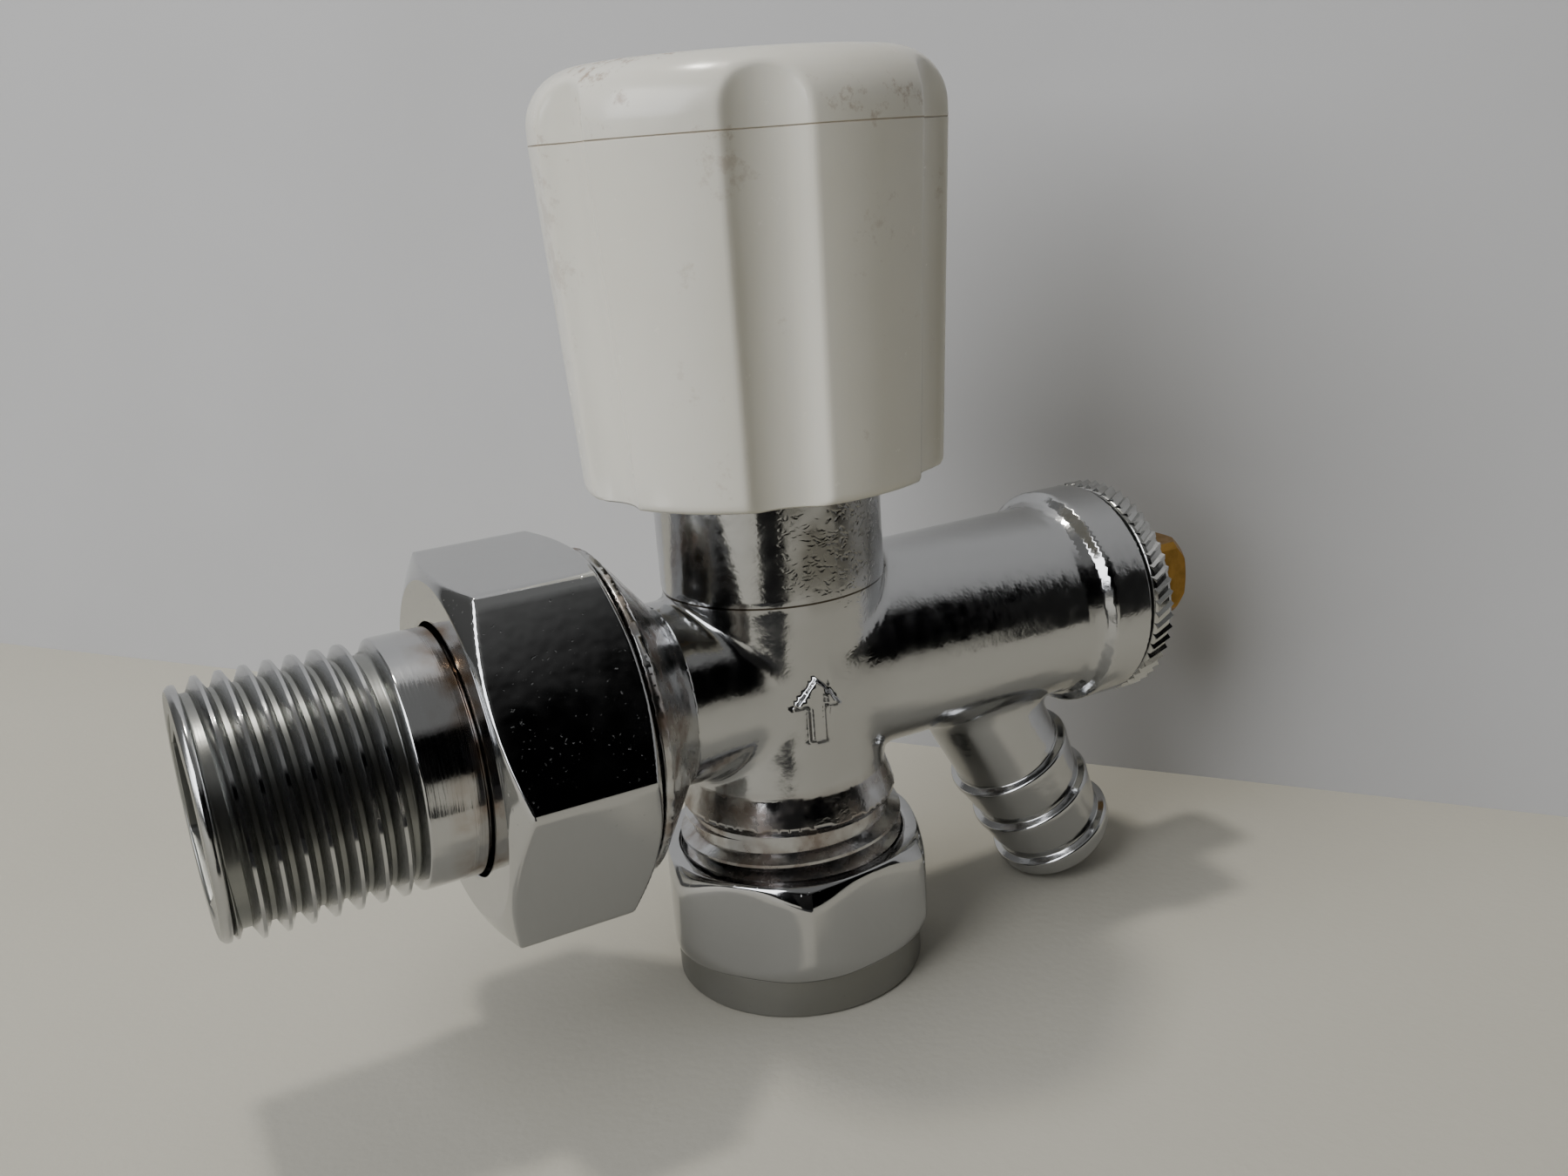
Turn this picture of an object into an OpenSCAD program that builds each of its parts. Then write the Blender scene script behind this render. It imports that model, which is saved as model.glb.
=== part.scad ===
// Angle radiator valve with a built-in drain-off, in millimetres.
// +Z runs up the spindle axis from the compression nut's lower face, the union tail points along -X
// and the drain leg along +X. Everything is drawn shut.

/* [Body] */
// Height of the horizontal run's axis above the compression nut's lower face
run_z = 29.75; // [29:0.25:31]
// Radius of the vertical boss that holds the headgear
boss_r = 10.08; // [10:0.02:10.4]
// Height of the line where the boss's turned part ends and its forged part begins
boss_seam_z = 38.5; // [38:0.1:39]
// Height of the boss's top rim
boss_top_z = 50.5; // [50:0.5:52]
// Radius of the leg between the run and the compression thread
leg_r = 9.2; // [9.1:0.05:9.5]
// Radius of the neck that leads to the union
neck_r = 8.3; // [8:0.1:8.8]
// Radius of the waterway through the neck
neck_bore_r = 5.6; // [5:0.1:5.8]
// Radius of the water chamber round the seat
chamber_r = 7.4; // [7.2:0.1:7.5]
// Height of the seat's rim
seat_z = 24.4; // [24.2:0.1:24.6]
// Radius of the hole through the seat
seat_hole_r = 4.4; // [4:0.1:4.6]

/* [Threads] */
// Pitch of the inlet, union and tail threads (14 threads per inch)
pipe_pitch = 1.814; // [1.814]
// Crest radius of the G1/2 threads on the inlet and the tail
half_inch_crest_r = 10.478; // [10.478]
// Crest radius of the G3/4 thread under the union nut
three_quarter_crest_r = 13.16; // [13.16]
// Radial running clearance of a nut over a thread or a spindle in its bore
running_gap = 0.05; // [0.03:0.01:0.08]

/* [Inlet] */
// Radius of the socket for the 15 mm pipe
pipe_socket_r = 7.6; // [7.55:0.01:7.65]
// Height of the socket's blind end
pipe_stop_z = 17; // [16:0.5:17.5]
// Height of the body's mouth, where the olive enters
mouth_z = 5.4; // [5.2:0.1:5.6]
// Height of the compression nut
nut_height = 13.4; // [13:0.1:14]
// Size of the compression nut across its flats
nut_across_flats = 24; // [24:0.5:25]
// Turn of the compression nut's hexagon about the inlet
nut_turn = 8.5; // [0:0.5:60]

/* [Union] */
// Size of the union nut across its flats
union_across_flats = 30; // [30:0.5:31]
// Turn of the union nut's hexagon about the tail
union_turn = 30; // [0:1:60]
// Distance from the spindle axis to the union nut's near face
union_near_x = 18.5; // [18.3:0.1:18.7]
// Length of the union nut
union_length = 12.5; // [12.3:0.1:13]
// Distance from the spindle axis to the tail's open end
tail_end_x = 51.3; // [50:0.1:53]
// Length of the tail's thread
tail_thread_length = 14.512; // [12.698, 14.512]
// Radius of the waterway through the tail
tail_bore_r = 6.4; // [6:0.1:6.4]
// Size of the hexagon key socket in the tail
tail_key_across_flats = 13; // [13:0.25:14]

/* [Wheelhead] */
// Height of the wheelhead's lower rim
wheel_z = 48; // [47.5:0.25:48.5]
// Height of the seam between the wheelhead and its cap
seam_z = 76.7; // [76:0.1:77.5]
// Height of the cap's top
cap_top_z = 82.7; // [82:0.1:84]
// Radius of the wheelhead at its lower rim
wheel_low_r = 15.75; // [15.5:0.05:16]
// Radius of the wheelhead at its seam
wheel_high_r = 17.25; // [17:0.05:17.5]
// Radius of each finger flute's round bottom
flute_r = 5.2; // [5:0.1:6]
// Depth of each finger flute
flute_depth = 1.5; // [1:0.1:1.7]
// Number of finger flutes
flute_count = 6; // [6]
// Turn of the first flute about the spindle
flute_turn = 250; // [240:1:300]

/* [Travel] */
// Lift of the spindle from shut to fully open
valve_lift = 4.125; // [4:0.125:4.125]
// Travel of the drain spindle from shut to fully open
drain_travel = 4; // [3.5:0.1:4]

/* [Drain leg] */
// Radius of the drain leg
drain_leg_r = 9.49; // [9.4:0.05:9.6]
// Distance from the spindle axis to the drain leg's collar
drain_collar_x = 30.7; // [30:0.1:31]
// Radius of the drain leg's collar
drain_collar_r = 10.8; // [10.6:0.1:11]
// Distance from the spindle axis to the drain leg's end face
drain_end_x = 35.5; // [35:0.1:36]
// Outer radius of the knurled ring of the drain cap
knurl_r = 10.9; // [10.8:0.1:11.4]
// Size of the drain spindle's square across its flats
key_square = 7.5; // [7:0.1:7.6]
// Distance from the spindle axis to the end of the drain spindle
key_end_x = 46.5; // [45:0.1:47]

/* [Hose tail] */
// Distance from the spindle axis to where the hose tail's axis leaves the drain leg's axis
hose_tail_x = 17.06; // [16.5:0.1:17.5]
// Lean of the hose tail from straight down
hose_tail_lean = 28.8; // [28:0.1:29.5]
// Radius of the hose tail between its barbs
hose_root_r = 5.75; // [5.6:0.05:5.8]
// Radius of the barbs, for a 1/2 inch hose
barb_r = 6.4; // [6.3:0.05:6.5]
// Distance along the hose tail from the drain leg's axis to the first barb
first_barb = 17.6; // [17.4:0.1:17.8]
// Spacing of the barbs
barb_pitch = 5.35; // [5.2:0.05:5.4]
// Length of the hose tail from the drain leg's axis
hose_tail_length = 31.6; // [31.5:0.1:31.8]
// Radius of the drain outlet through the hose tail
outlet_r = 3.6; // [3.5:0.05:3.6]

/* [Hidden] */
$fn = 96;
slip = 0.02; // play between two surfaces that meet
cut = 0.5; // how far a cutter runs past a face

// Threads are Whitworth rings: a sixth of the pitch is crest, a sixth is root
thread_depth = 0.64 * pipe_pitch;
thread_flat = pipe_pitch / 6;
half_inch_root_r = half_inch_crest_r - thread_depth;
three_quarter_root_r = three_quarter_crest_r - thread_depth;
inlet_thread_turns = 6;
inlet_thread_z = mouth_z + 0.47;
union_thread_turns = 4;

// Union, as distances along -X
flange_x = 17.9;
union_face_x = 25;
seat_cone_depth = 2.3;
tail_flange_thickness = 3;
tail_flange_r = 12.9;
tail_shoulder_x = tail_end_x - 1 - tail_thread_length;
tail_land_x = union_near_x + union_length + 0.2;
tail_neck_r = half_inch_crest_r - 0.3;
union_lip_x = union_face_x + tail_flange_thickness + 0.1;

// Headgear and spindle
headgear_bore_z = 38.3;
headgear_bore_r = 7.9;
headgear_r = headgear_bore_r - running_gap;
headgear_seal = 0.8;
headgear_hex_z = boss_top_z + headgear_seal;
headgear_hex_top_z = headgear_hex_z + 4.7;
headgear_top_z = 60;
stem_r = 3;
spindle_thread_r = 4.6;
headgear_stop_z = headgear_hex_top_z - 5.8;
spindle_shoulder_z = headgear_stop_z - 0.2 - valve_lift;
gland_top_z = headgear_top_z + 2;
washer_thickness = 2.2;
jumper_z = seat_z + slip + washer_thickness;
jumper_disc = 2;
spindle_foot_z = jumper_z + jumper_disc + running_gap;
jumper_stem_r = 2;
jumper_stem_length = 7;
spindle_top_z = 73.3;
spindle_square = 5;
spindle_square_z = gland_top_z + 1.6;
spindle_ring_z = headgear_hex_top_z - 5.2;

// Wheelhead
wheel_hollow_r = 12.8;
wheel_hollow_top_z = spindle_square_z + 2.2;
wheel_square = spindle_square + 2 * slip;
wheel_recess_r = 6;
wheel_recess_z = 73.6;
wheel_height = seam_z - wheel_z;
wheel_taper = atan((wheel_high_r - wheel_low_r) / wheel_height);
cap_height = cap_top_z - seam_z;
cap_round = 4.6;
cap_skirt_r = 9;
cap_skirt = 2.2;
cap_outline = concat([[0, 0], [wheel_high_r, 0]],
    [for (angle = [0 : 15 : 90]) [wheel_high_r - cap_round * (1 - cos(angle)),
        cap_height - cap_round * (1 - sin(angle))]],
    [[0, cap_height]]);

// Drain
drain_bore_r = 7.5;
drain_floor_x = 11.6;
drain_seat_x = 12.8;
drain_hole_r = 2.8;
drain_seat_r = 4.4;
drain_jumper_x = drain_seat_x + slip + washer_thickness;
drain_foot_x = drain_jumper_x + jumper_disc + running_gap;
drain_thread_r = 5.85;
drain_stem_r = 4.9;
drain_cap_inner_x = 26.5;
drain_stop_x = 34;
gasket_thickness = 0.4;
knurl_x = drain_end_x + gasket_thickness;
knurl_width = 2.4;
knurl_end_x = knurl_x + knurl_width;
drain_thread_x = drain_foot_x + 7.5;
key_x = knurl_end_x + 0.6;
drain_ring_x = drain_stop_x + 0.7;

// ---- helpers ----

// Children drawn up +Z stand on the drain leg's axis and point along +X
module facing_right(x) {
    translate([x, 0, run_z]) rotate([0, 90, 0]) children();
}

// Children drawn up +Z stand on the union's axis and point along -X
module facing_left(x) {
    translate([-x, 0, run_z]) rotate([0, -90, 0]) children();
}

// Children drawn up +Z follow the hose tail from the drain leg's axis towards its tip
module down_hose_tail() {
    translate([hose_tail_x, 0, run_z]) rotate([0, 180 - hose_tail_lean, 0]) children();
}

// A cylinder with a hole right through
module tube(outer_r, inner_r, height) {
    difference() {
        cylinder(r = outer_r, h = height);
        translate([0, 0, -cut]) cylinder(r = inner_r, h = height + 2 * cut);
    }
}

// A hexagonal bar measured across its flats
module hexagon(across_flats, height) {
    cylinder(r = across_flats / 2 / cos(30), h = height, $fn = 6);
}

// A solid turned from an outline of [radius, height] points
module turned(outline) {
    rotate_extrude() polygon(outline);
}

// A round ring, from the radius of its middle line and its own radius
module o_ring(middle_r, ring_r) {
    rotate_extrude() translate([middle_r, 0]) circle(r = ring_r);
}

// Outline of a run of thread rings, starting at height zero
function thread_outline(crest, root, turns) = [
    for (turn = [0 : turns - 1]) each let (foot = turn * pipe_pitch + thread_flat / 2) [
        [root, foot],
        [crest, foot + 2 * thread_flat],
        [crest, foot + 3 * thread_flat],
        [root, foot + 5 * thread_flat]
    ]
];

module thread(crest, turns) {
    root = crest - thread_depth;
    turned(concat([[0, 0], [root, 0]], thread_outline(crest, root, turns),
        [[root, turns * pipe_pitch], [0, turns * pipe_pitch]]));
}

// A nut's blank: a hexagon with both ends turned to cones
module chamfered_hexagon(across_flats, height, low_r, high_r, chamfer) {
    corner_r = across_flats / 2 / cos(30) + slip;
    intersection() {
        hexagon(across_flats, height);
        turned([[0, 0], [low_r, 0], [corner_r, chamfer], [corner_r, height - chamfer], [high_r, height],
            [0, height]]);
    }
}

// A flat rubber or metal disc stack that shuts on a seat, drawn with the seat face at height zero
module washer_disc() {
    tube(5.6, 1.55, washer_thickness - slip);
}

module jumper_shape(disc_r) {
    cylinder(r = disc_r, h = jumper_disc);
    translate([0, 0, jumper_disc - slip]) cylinder(r = jumper_stem_r, h = jumper_stem_length + slip);
    translate([0, 0, -washer_thickness - 1.7]) cylinder(r = 1.5, h = washer_thickness + 1.7 + slip);
}

module washer_nut_shape() {
    difference() {
        hexagon(4.6, 1.5);
        translate([0, 0, -cut]) cylinder(r = 1.55, h = 2.5);
    }
}

// A square bar with its corners turned off to the stem's radius and a domed end
module key_end(across_flats, corner_r, length) {
    intersection() {
        translate([-across_flats / 2, -across_flats / 2, 0]) cube([across_flats, across_flats, length]);
        turned([[0, 0], [corner_r, 0], [corner_r, length - 1.4], [corner_r - 0.7, length - 0.4],
            [corner_r - 1.8, length], [0, length]]);
    }
}

// ---- valve body and what is screwed into it ----

module hose_tail() {
    down_hose_tail() {
        cylinder(r = hose_root_r, h = hose_tail_length - 1);
        for (barb = [0 : 2]) translate([0, 0, first_barb + barb * barb_pitch]) turned([
            [0, -1.5], [hose_root_r - 0.1, -1.5], [barb_r - 0.2, -0.35], [barb_r, 0], [barb_r, 0.5],
            [hose_root_r - 0.1, 3.6], [0, 3.6]
        ]);
        translate([0, 0, hose_tail_length - 4]) turned([
            [0, 0], [hose_root_r, 0], [hose_root_r, 1.4], [5.45, 2.6], [4.9, 3.5], [4.3, 4], [0, 4]
        ]);
    }
}

module body_outside() {
    translate([0, 0, boss_seam_z]) cylinder(r = boss_r, h = boss_top_z - boss_seam_z);
    turned([[0, 18], [leg_r, 18], [leg_r, run_z], [boss_r - 0.08, boss_seam_z], [0, boss_seam_z]]);
    turned([[0, mouth_z], [half_inch_root_r, mouth_z], [half_inch_root_r, 17], [10.05, 17.7], [9.8, 18.6],
        [leg_r, 20.4], [0, 20.4]]);
    translate([0, 0, inlet_thread_z]) thread(half_inch_crest_r, inlet_thread_turns);
    facing_left(0) {
        cylinder(r = neck_r, h = flange_x);
        turned([[0, 12.4], [neck_r, 12.4], [9.2, 13], [14.5, flange_x - 0.5], [14.5, flange_x],
            [three_quarter_root_r, flange_x], [three_quarter_root_r, union_face_x], [0, union_face_x]]);
    }
    facing_left(union_face_x - union_thread_turns * pipe_pitch)
        thread(three_quarter_crest_r, union_thread_turns);
    facing_right(0) turned([[0, 0], [drain_leg_r, 0], [drain_leg_r, drain_collar_x - 1.2],
        [drain_leg_r + 0.4, drain_collar_x - 0.4], [drain_collar_r, drain_collar_x],
        [drain_collar_r, drain_end_x - 0.2], [drain_collar_r - 0.2, drain_end_x], [0, drain_end_x]]);
    hose_tail();
    flow_arrow();
}

// A plain raised arrow on the front of the body that shows the way of the flow
module flow_arrow() {
    translate([-1.4, 0, 25.6]) rotate([90, 0, 0]) linear_extrude(leg_r + 0.55)
        polygon([[-0.7, 0], [0.7, 0], [0.7, 3.4], [2, 3.4], [0, 6], [-2, 3.4], [-0.7, 3.4]]);
}

module body_waterways() {
    // socket for the pipe, with its cone for the olive
    translate([0, 0, mouth_z - cut]) cylinder(r = pipe_socket_r, h = pipe_stop_z - mouth_z + cut);
    translate([0, 0, mouth_z]) cylinder(r1 = 9, r2 = pipe_socket_r, h = 2.6);
    translate([0, 0, pipe_stop_z - cut]) cylinder(r = seat_hole_r, h = seat_z - pipe_stop_z + 2 * cut);
    // water chamber with the seat left standing in its floor
    difference() {
        translate([0, 0, 22.8]) cylinder(r = chamber_r, h = headgear_bore_z - 22.8 + cut);
        translate([0, 0, 22]) cylinder(r = seat_hole_r + 1.8, h = seat_z - 22);
    }
    translate([0, 0, headgear_bore_z]) cylinder(r = headgear_bore_r, h = boss_top_z - headgear_bore_z + cut);
    // neck and the union's cone seat
    facing_left(seat_hole_r + 2.4) cylinder(r = neck_bore_r, h = union_face_x);
    facing_left(union_face_x - seat_cone_depth) cylinder(r1 = 7.2, r2 = 9.3, h = seat_cone_depth);
    facing_left(union_face_x) cylinder(r = 9.3, h = cut);
    // drain passage, chamber and outlet
    facing_right(6) cylinder(r = drain_hole_r, h = 8);
    difference() {
        facing_right(drain_floor_x) cylinder(r = drain_bore_r, h = drain_end_x - drain_floor_x + cut);
        facing_right(drain_floor_x - cut) cylinder(r = drain_seat_r, h = drain_seat_x - drain_floor_x + cut);
    }
    down_hose_tail() translate([0, 0, 5]) cylinder(r = outlet_r - 0.3, h = 10);
    down_hose_tail() translate([0, 0, 12]) cylinder(r = outlet_r, h = hose_tail_length);
}

module valve_body() {
    color("silver") difference() {
        body_outside();
        body_waterways();
    }
}

module headgear() {
    color("goldenrod") difference() {
        union() {
            translate([0, 0, headgear_bore_z + 0.2])
                cylinder(r = headgear_r, h = headgear_hex_z - headgear_bore_z);
            translate([0, 0, headgear_hex_z]) chamfered_hexagon(19, 4.7, 9.6, 9.4, 0.8);
            translate([0, 0, headgear_hex_top_z - slip])
                cylinder(r = 6.2, h = headgear_top_z - headgear_hex_top_z + slip);
        }
        translate([0, 0, headgear_bore_z - cut])
            cylinder(r = spindle_thread_r + running_gap, h = headgear_stop_z - headgear_bore_z + cut);
        translate([0, 0, headgear_bore_z]) cylinder(r = stem_r + running_gap, h = 30);
        translate([0, 0, headgear_hex_top_z]) cylinder(r = 4.6, h = 10);
    }
}

module headgear_seal_ring() {
    color("dimgray") translate([0, 0, boss_top_z]) tube(9.6, headgear_bore_r, headgear_seal);
}

module gland_packing() {
    color("white") translate([0, 0, headgear_hex_top_z]) tube(4.58, stem_r + running_gap, 3.4);
}

module gland_nut() {
    color("goldenrod") difference() {
        union() {
            translate([0, 0, headgear_top_z]) chamfered_hexagon(13, 2, 6.6, 6.4, 0.4);
            translate([0, 0, headgear_hex_top_z + 3.4]) cylinder(r = 4.58, h = 1);
        }
        translate([0, 0, headgear_hex_top_z]) cylinder(r = stem_r + running_gap, h = 10);
    }
}

module spindle() {
    color("goldenrod") difference() {
        union() {
            translate([0, 0, spindle_foot_z]) cylinder(r = 3.6, h = headgear_bore_z - spindle_foot_z);
            translate([0, 0, headgear_bore_z - slip])
                cylinder(r = spindle_thread_r, h = spindle_shoulder_z - headgear_bore_z + slip);
            translate([0, 0, spindle_shoulder_z - slip])
                cylinder(r = stem_r, h = spindle_square_z - spindle_shoulder_z + 2 * slip);
            translate([0, 0, spindle_square_z])
                key_end(spindle_square, stem_r, spindle_top_z - spindle_square_z);
        }
        translate([0, 0, spindle_foot_z - cut])
            cylinder(r = jumper_stem_r + running_gap, h = jumper_stem_length + 1);
        translate([0, 0, spindle_top_z - 7]) cylinder(r = 1.25, h = 8);
        translate([0, 0, spindle_ring_z]) o_ring(stem_r - 0.47, 0.5 + slip);
    }
}

module spindle_o_ring() {
    color("black") translate([0, 0, spindle_ring_z]) o_ring(stem_r - 0.47, 0.5);
}

// ---- what opens and shuts the valve ----

module jumper() {
    color("goldenrod") translate([0, 0, jumper_z]) jumper_shape(6.2);
}

module seat_washer() {
    color("black") translate([0, 0, seat_z + slip]) washer_disc();
}

module washer_nut() {
    color("goldenrod") translate([0, 0, seat_z + slip - 1.5]) washer_nut_shape();
}

// ---- wheelhead ----

// One flute's cutter, leaning with the taper of the wheelhead
module flute(turn) {
    rotate([0, 0, turn]) translate([wheel_low_r - flute_depth + flute_r, 0, wheel_z])
        rotate([0, wheel_taper, 0]) translate([0, 0, -2]) cylinder(r = flute_r, h = cap_top_z - wheel_z + 4);
}

module all_flutes() {
    for (i = [0 : flute_count - 1]) flute(flute_turn + i * 360 / flute_count);
}

module wheelhead() {
    color("ivory") difference() {
        translate([0, 0, wheel_z]) cylinder(r1 = wheel_low_r, r2 = wheel_high_r, h = wheel_height);
        all_flutes();
        translate([0, 0, wheel_z - cut])
            cylinder(r = wheel_hollow_r, h = wheel_hollow_top_z - wheel_z + cut);
        translate([-wheel_square / 2, -wheel_square / 2, wheel_hollow_top_z - cut])
            cube([wheel_square, wheel_square, spindle_top_z - wheel_hollow_top_z + cut + 0.1]);
        translate([0, 0, spindle_top_z]) cylinder(r = 1.7, h = 5);
        translate([0, 0, wheel_recess_z]) cylinder(r = wheel_recess_r, h = 10);
        translate([0, 0, seam_z - cap_skirt]) cylinder(r = cap_skirt_r, h = 10);
    }
}

// The cap's flutes stand upright and meet the wheelhead's at the seam
module cap_flutes() {
    for (i = [0 : flute_count - 1]) rotate([0, 0, flute_turn + i * 360 / flute_count])
        translate([wheel_high_r - flute_depth + flute_r, 0, seam_z - cut])
            cylinder(r = flute_r, h = cap_height + 2 * cut);
}

module wheelhead_cap() {
    color("ivory") difference() {
        union() {
            difference() {
                translate([0, 0, seam_z]) turned(cap_outline);
                cap_flutes();
            }
            translate([0, 0, seam_z - cap_skirt + 0.1]) cylinder(r = cap_skirt_r - slip, h = cap_skirt + 1);
        }
        translate([0, 0, seam_z - cap_skirt - cut]) cylinder(r = cap_skirt_r - 1.6, h = cap_skirt + 3);
    }
}

module wheelhead_screw() {
    color("silver") translate([0, 0, wheel_recess_z]) difference() {
        union() {
            cylinder(r = 4.2, h = 1.6);
            translate([0, 0, -6]) cylinder(r = 1.25 - slip, h = 6.5);
        }
        translate([-0.4, -4.5, 0.9]) cube([0.8, 9, 2]);
    }
}

// ---- union and compression joint ----

module union_tail() {
    color("silver") difference() {
        union() {
            facing_left(union_face_x - seat_cone_depth + 0.3)
                turned([[0, 0], [7.2, 0], [9.05, seat_cone_depth - 0.3], [0, seat_cone_depth - 0.3]]);
            facing_left(union_face_x) cylinder(r = tail_flange_r, h = tail_flange_thickness);
            facing_left(union_face_x) cylinder(r = tail_neck_r, h = tail_land_x - union_face_x + slip);
            facing_left(tail_land_x) cylinder(r = half_inch_crest_r, h = tail_shoulder_x - tail_land_x);
            facing_left(tail_shoulder_x) thread(half_inch_crest_r, round(tail_thread_length / pipe_pitch));
            facing_left(tail_end_x - 1)
                turned([[0, 0], [half_inch_root_r, 0], [10.1, 0.4], [10.1, 0.7], [9.8, 1], [0, 1]]);
        }
        facing_left(union_face_x - seat_cone_depth - cut) cylinder(r = tail_bore_r, h = 40);
        facing_left(tail_end_x - 9) hexagon(tail_key_across_flats, 12);
    }
}

module union_nut() {
    color("silver") difference() {
        facing_left(union_near_x) rotate([0, 0, union_turn])
            chamfered_hexagon(union_across_flats, union_length, 14.9, 14.4, 1.4);
        facing_left(union_near_x - cut)
            cylinder(r = three_quarter_crest_r + running_gap, h = union_lip_x - union_near_x + cut);
        facing_left(union_near_x) cylinder(r = 10.75, h = 20);
    }
}

module compression_nut() {
    color("silver") difference() {
        union() {
            cylinder(r = 11.72, h = 4);
            rotate([0, 0, nut_turn]) intersection() {
                translate([0, 0, 3.9]) hexagon(nut_across_flats, nut_height - 3.9);
                turned([[0, 3.9], [12.3, 3.9], [13.9, 6.3], [13.9, nut_height - 2.4], [12.1, nut_height],
                    [0, nut_height]]);
            }
        }
        translate([0, 0, -cut]) cylinder(r = pipe_socket_r, h = nut_height);
        translate([0, 0, 2.6]) cylinder(r1 = pipe_socket_r, r2 = 9.3, h = 2);
        translate([0, 0, 4.6]) cylinder(r = half_inch_crest_r + running_gap, h = nut_height);
    }
}

module olive() {
    color("goldenrod") difference() {
        turned([[0, 3.1], [7.9, 3.1], [8.65, 5.1], [8.65, 5.5], [7.75, 7.6], [0, 7.6]]);
        translate([0, 0, 2]) cylinder(r = pipe_socket_r, h = 8);
    }
}

// ---- drain-off ----

module drain_cap() {
    color("silver") difference() {
        union() {
            facing_right(drain_cap_inner_x)
                cylinder(r = drain_bore_r - running_gap, h = knurl_x - drain_cap_inner_x + slip);
            facing_right(knurl_x) turned([[0, 0], [knurl_r - 0.3, 0], [knurl_r, 0.4], [knurl_r, 1.8],
                [knurl_r - 0.5, knurl_width], [0, knurl_width]]);
        }
        facing_right(drain_cap_inner_x - cut)
            cylinder(r = drain_thread_r + running_gap, h = drain_stop_x - drain_cap_inner_x + cut);
        facing_right(drain_cap_inner_x) cylinder(r = drain_stem_r + running_gap, h = 20);
    }
}

module drain_cap_gasket() {
    color("black") facing_right(drain_end_x) tube(10, drain_bore_r, gasket_thickness);
}

module drain_spindle() {
    color("goldenrod") difference() {
        union() {
            facing_right(drain_foot_x) cylinder(r = 4.2, h = 8);
            facing_right(drain_thread_x)
                cylinder(r = drain_thread_r, h = drain_stop_x - 0.1 - drain_travel - drain_thread_x);
            facing_right(drain_thread_x + 0.5) cylinder(r = drain_stem_r, h = key_x - drain_thread_x - 0.5);
            facing_right(key_x - slip) key_end(key_square, drain_stem_r, key_end_x - key_x + slip);
        }
        facing_right(drain_foot_x - cut)
            cylinder(r = jumper_stem_r + running_gap, h = jumper_stem_length + 1);
        facing_right(drain_ring_x) o_ring(drain_stem_r - 0.57, 0.6 + slip);
    }
}

module drain_o_ring() {
    color("black") facing_right(drain_ring_x) o_ring(drain_stem_r - 0.57, 0.6);
}

module drain_jumper() {
    color("goldenrod") facing_right(drain_jumper_x) jumper_shape(5.8);
}

module drain_washer() {
    color("black") facing_right(drain_seat_x + slip) washer_disc();
}

module drain_washer_nut() {
    color("goldenrod") facing_right(drain_seat_x + slip - 1.5) washer_nut_shape();
}

valve_body();
headgear();
headgear_seal_ring();
gland_packing();
gland_nut();
spindle();
spindle_o_ring();
jumper();
seat_washer();
washer_nut();
wheelhead();
wheelhead_cap();
wheelhead_screw();
union_tail();
union_nut();
compression_nut();
olive();
drain_cap();
drain_cap_gasket();
drain_spindle();
drain_o_ring();
drain_jumper();
drain_washer();
drain_washer_nut();
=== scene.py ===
import math

import bmesh
import bpy
import numpy as np
from mathutils import Matrix, Vector


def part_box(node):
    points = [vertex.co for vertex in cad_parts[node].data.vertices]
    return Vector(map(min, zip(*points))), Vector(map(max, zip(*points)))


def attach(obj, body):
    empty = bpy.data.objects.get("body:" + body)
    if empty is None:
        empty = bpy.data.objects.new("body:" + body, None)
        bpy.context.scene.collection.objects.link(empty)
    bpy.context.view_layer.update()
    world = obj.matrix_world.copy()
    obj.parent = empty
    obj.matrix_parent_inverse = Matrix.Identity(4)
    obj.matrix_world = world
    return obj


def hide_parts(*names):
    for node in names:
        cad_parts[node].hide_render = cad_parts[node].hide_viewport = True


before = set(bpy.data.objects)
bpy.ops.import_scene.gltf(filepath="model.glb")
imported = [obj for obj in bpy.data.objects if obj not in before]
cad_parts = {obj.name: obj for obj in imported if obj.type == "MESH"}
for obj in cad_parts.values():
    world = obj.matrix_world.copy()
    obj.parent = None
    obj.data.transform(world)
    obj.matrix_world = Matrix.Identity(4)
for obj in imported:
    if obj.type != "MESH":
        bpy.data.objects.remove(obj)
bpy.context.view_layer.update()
scene = bpy.context.scene
MM = 0.001

# ---------------------------------------------------------------------------------------------------
# Camera. The valve is seen from just above its own height, a little to the left of straight on,
# as if held over the edge of a desk.

camera_data = bpy.data.cameras.new("camera")
camera_data.sensor_width = 36
camera_data.lens = 32.94
camera_data.clip_start = 0.005
camera = bpy.data.objects.new("camera", camera_data)
scene.collection.objects.link(camera)
camera_heading = math.radians(27.48)
camera_pitch = math.radians(17.06)
camera_roll = math.radians(-4.25)
camera.matrix_world = (
    Matrix.Translation(Vector((-56.49, -110.71, 75.28)) * MM)
    @ Matrix.Rotation(-camera_heading, 4, "Z")
    @ Matrix.Rotation(math.pi / 2 - camera_pitch, 4, "X")
    @ Matrix.Rotation(camera_roll, 4, "Z")
)
scene.camera = camera


# ---------------------------------------------------------------------------------------------------
# Stage. A sheet of warm pale paper on the desk, a white wall close behind on the right, a lamp high
# above, and a dark room on the camera's side that polished chrome shows as black.


def linear(hex_colour):
    """An sRGB hex colour as linear light, with full alpha."""
    channels = [int(hex_colour[i : i + 2], 16) / 255 for i in (1, 3, 5)]
    return [c / 12.92 if c <= 0.04045 else ((c + 0.055) / 1.055) ** 2.4 for c in channels] + [1.0]


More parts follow.
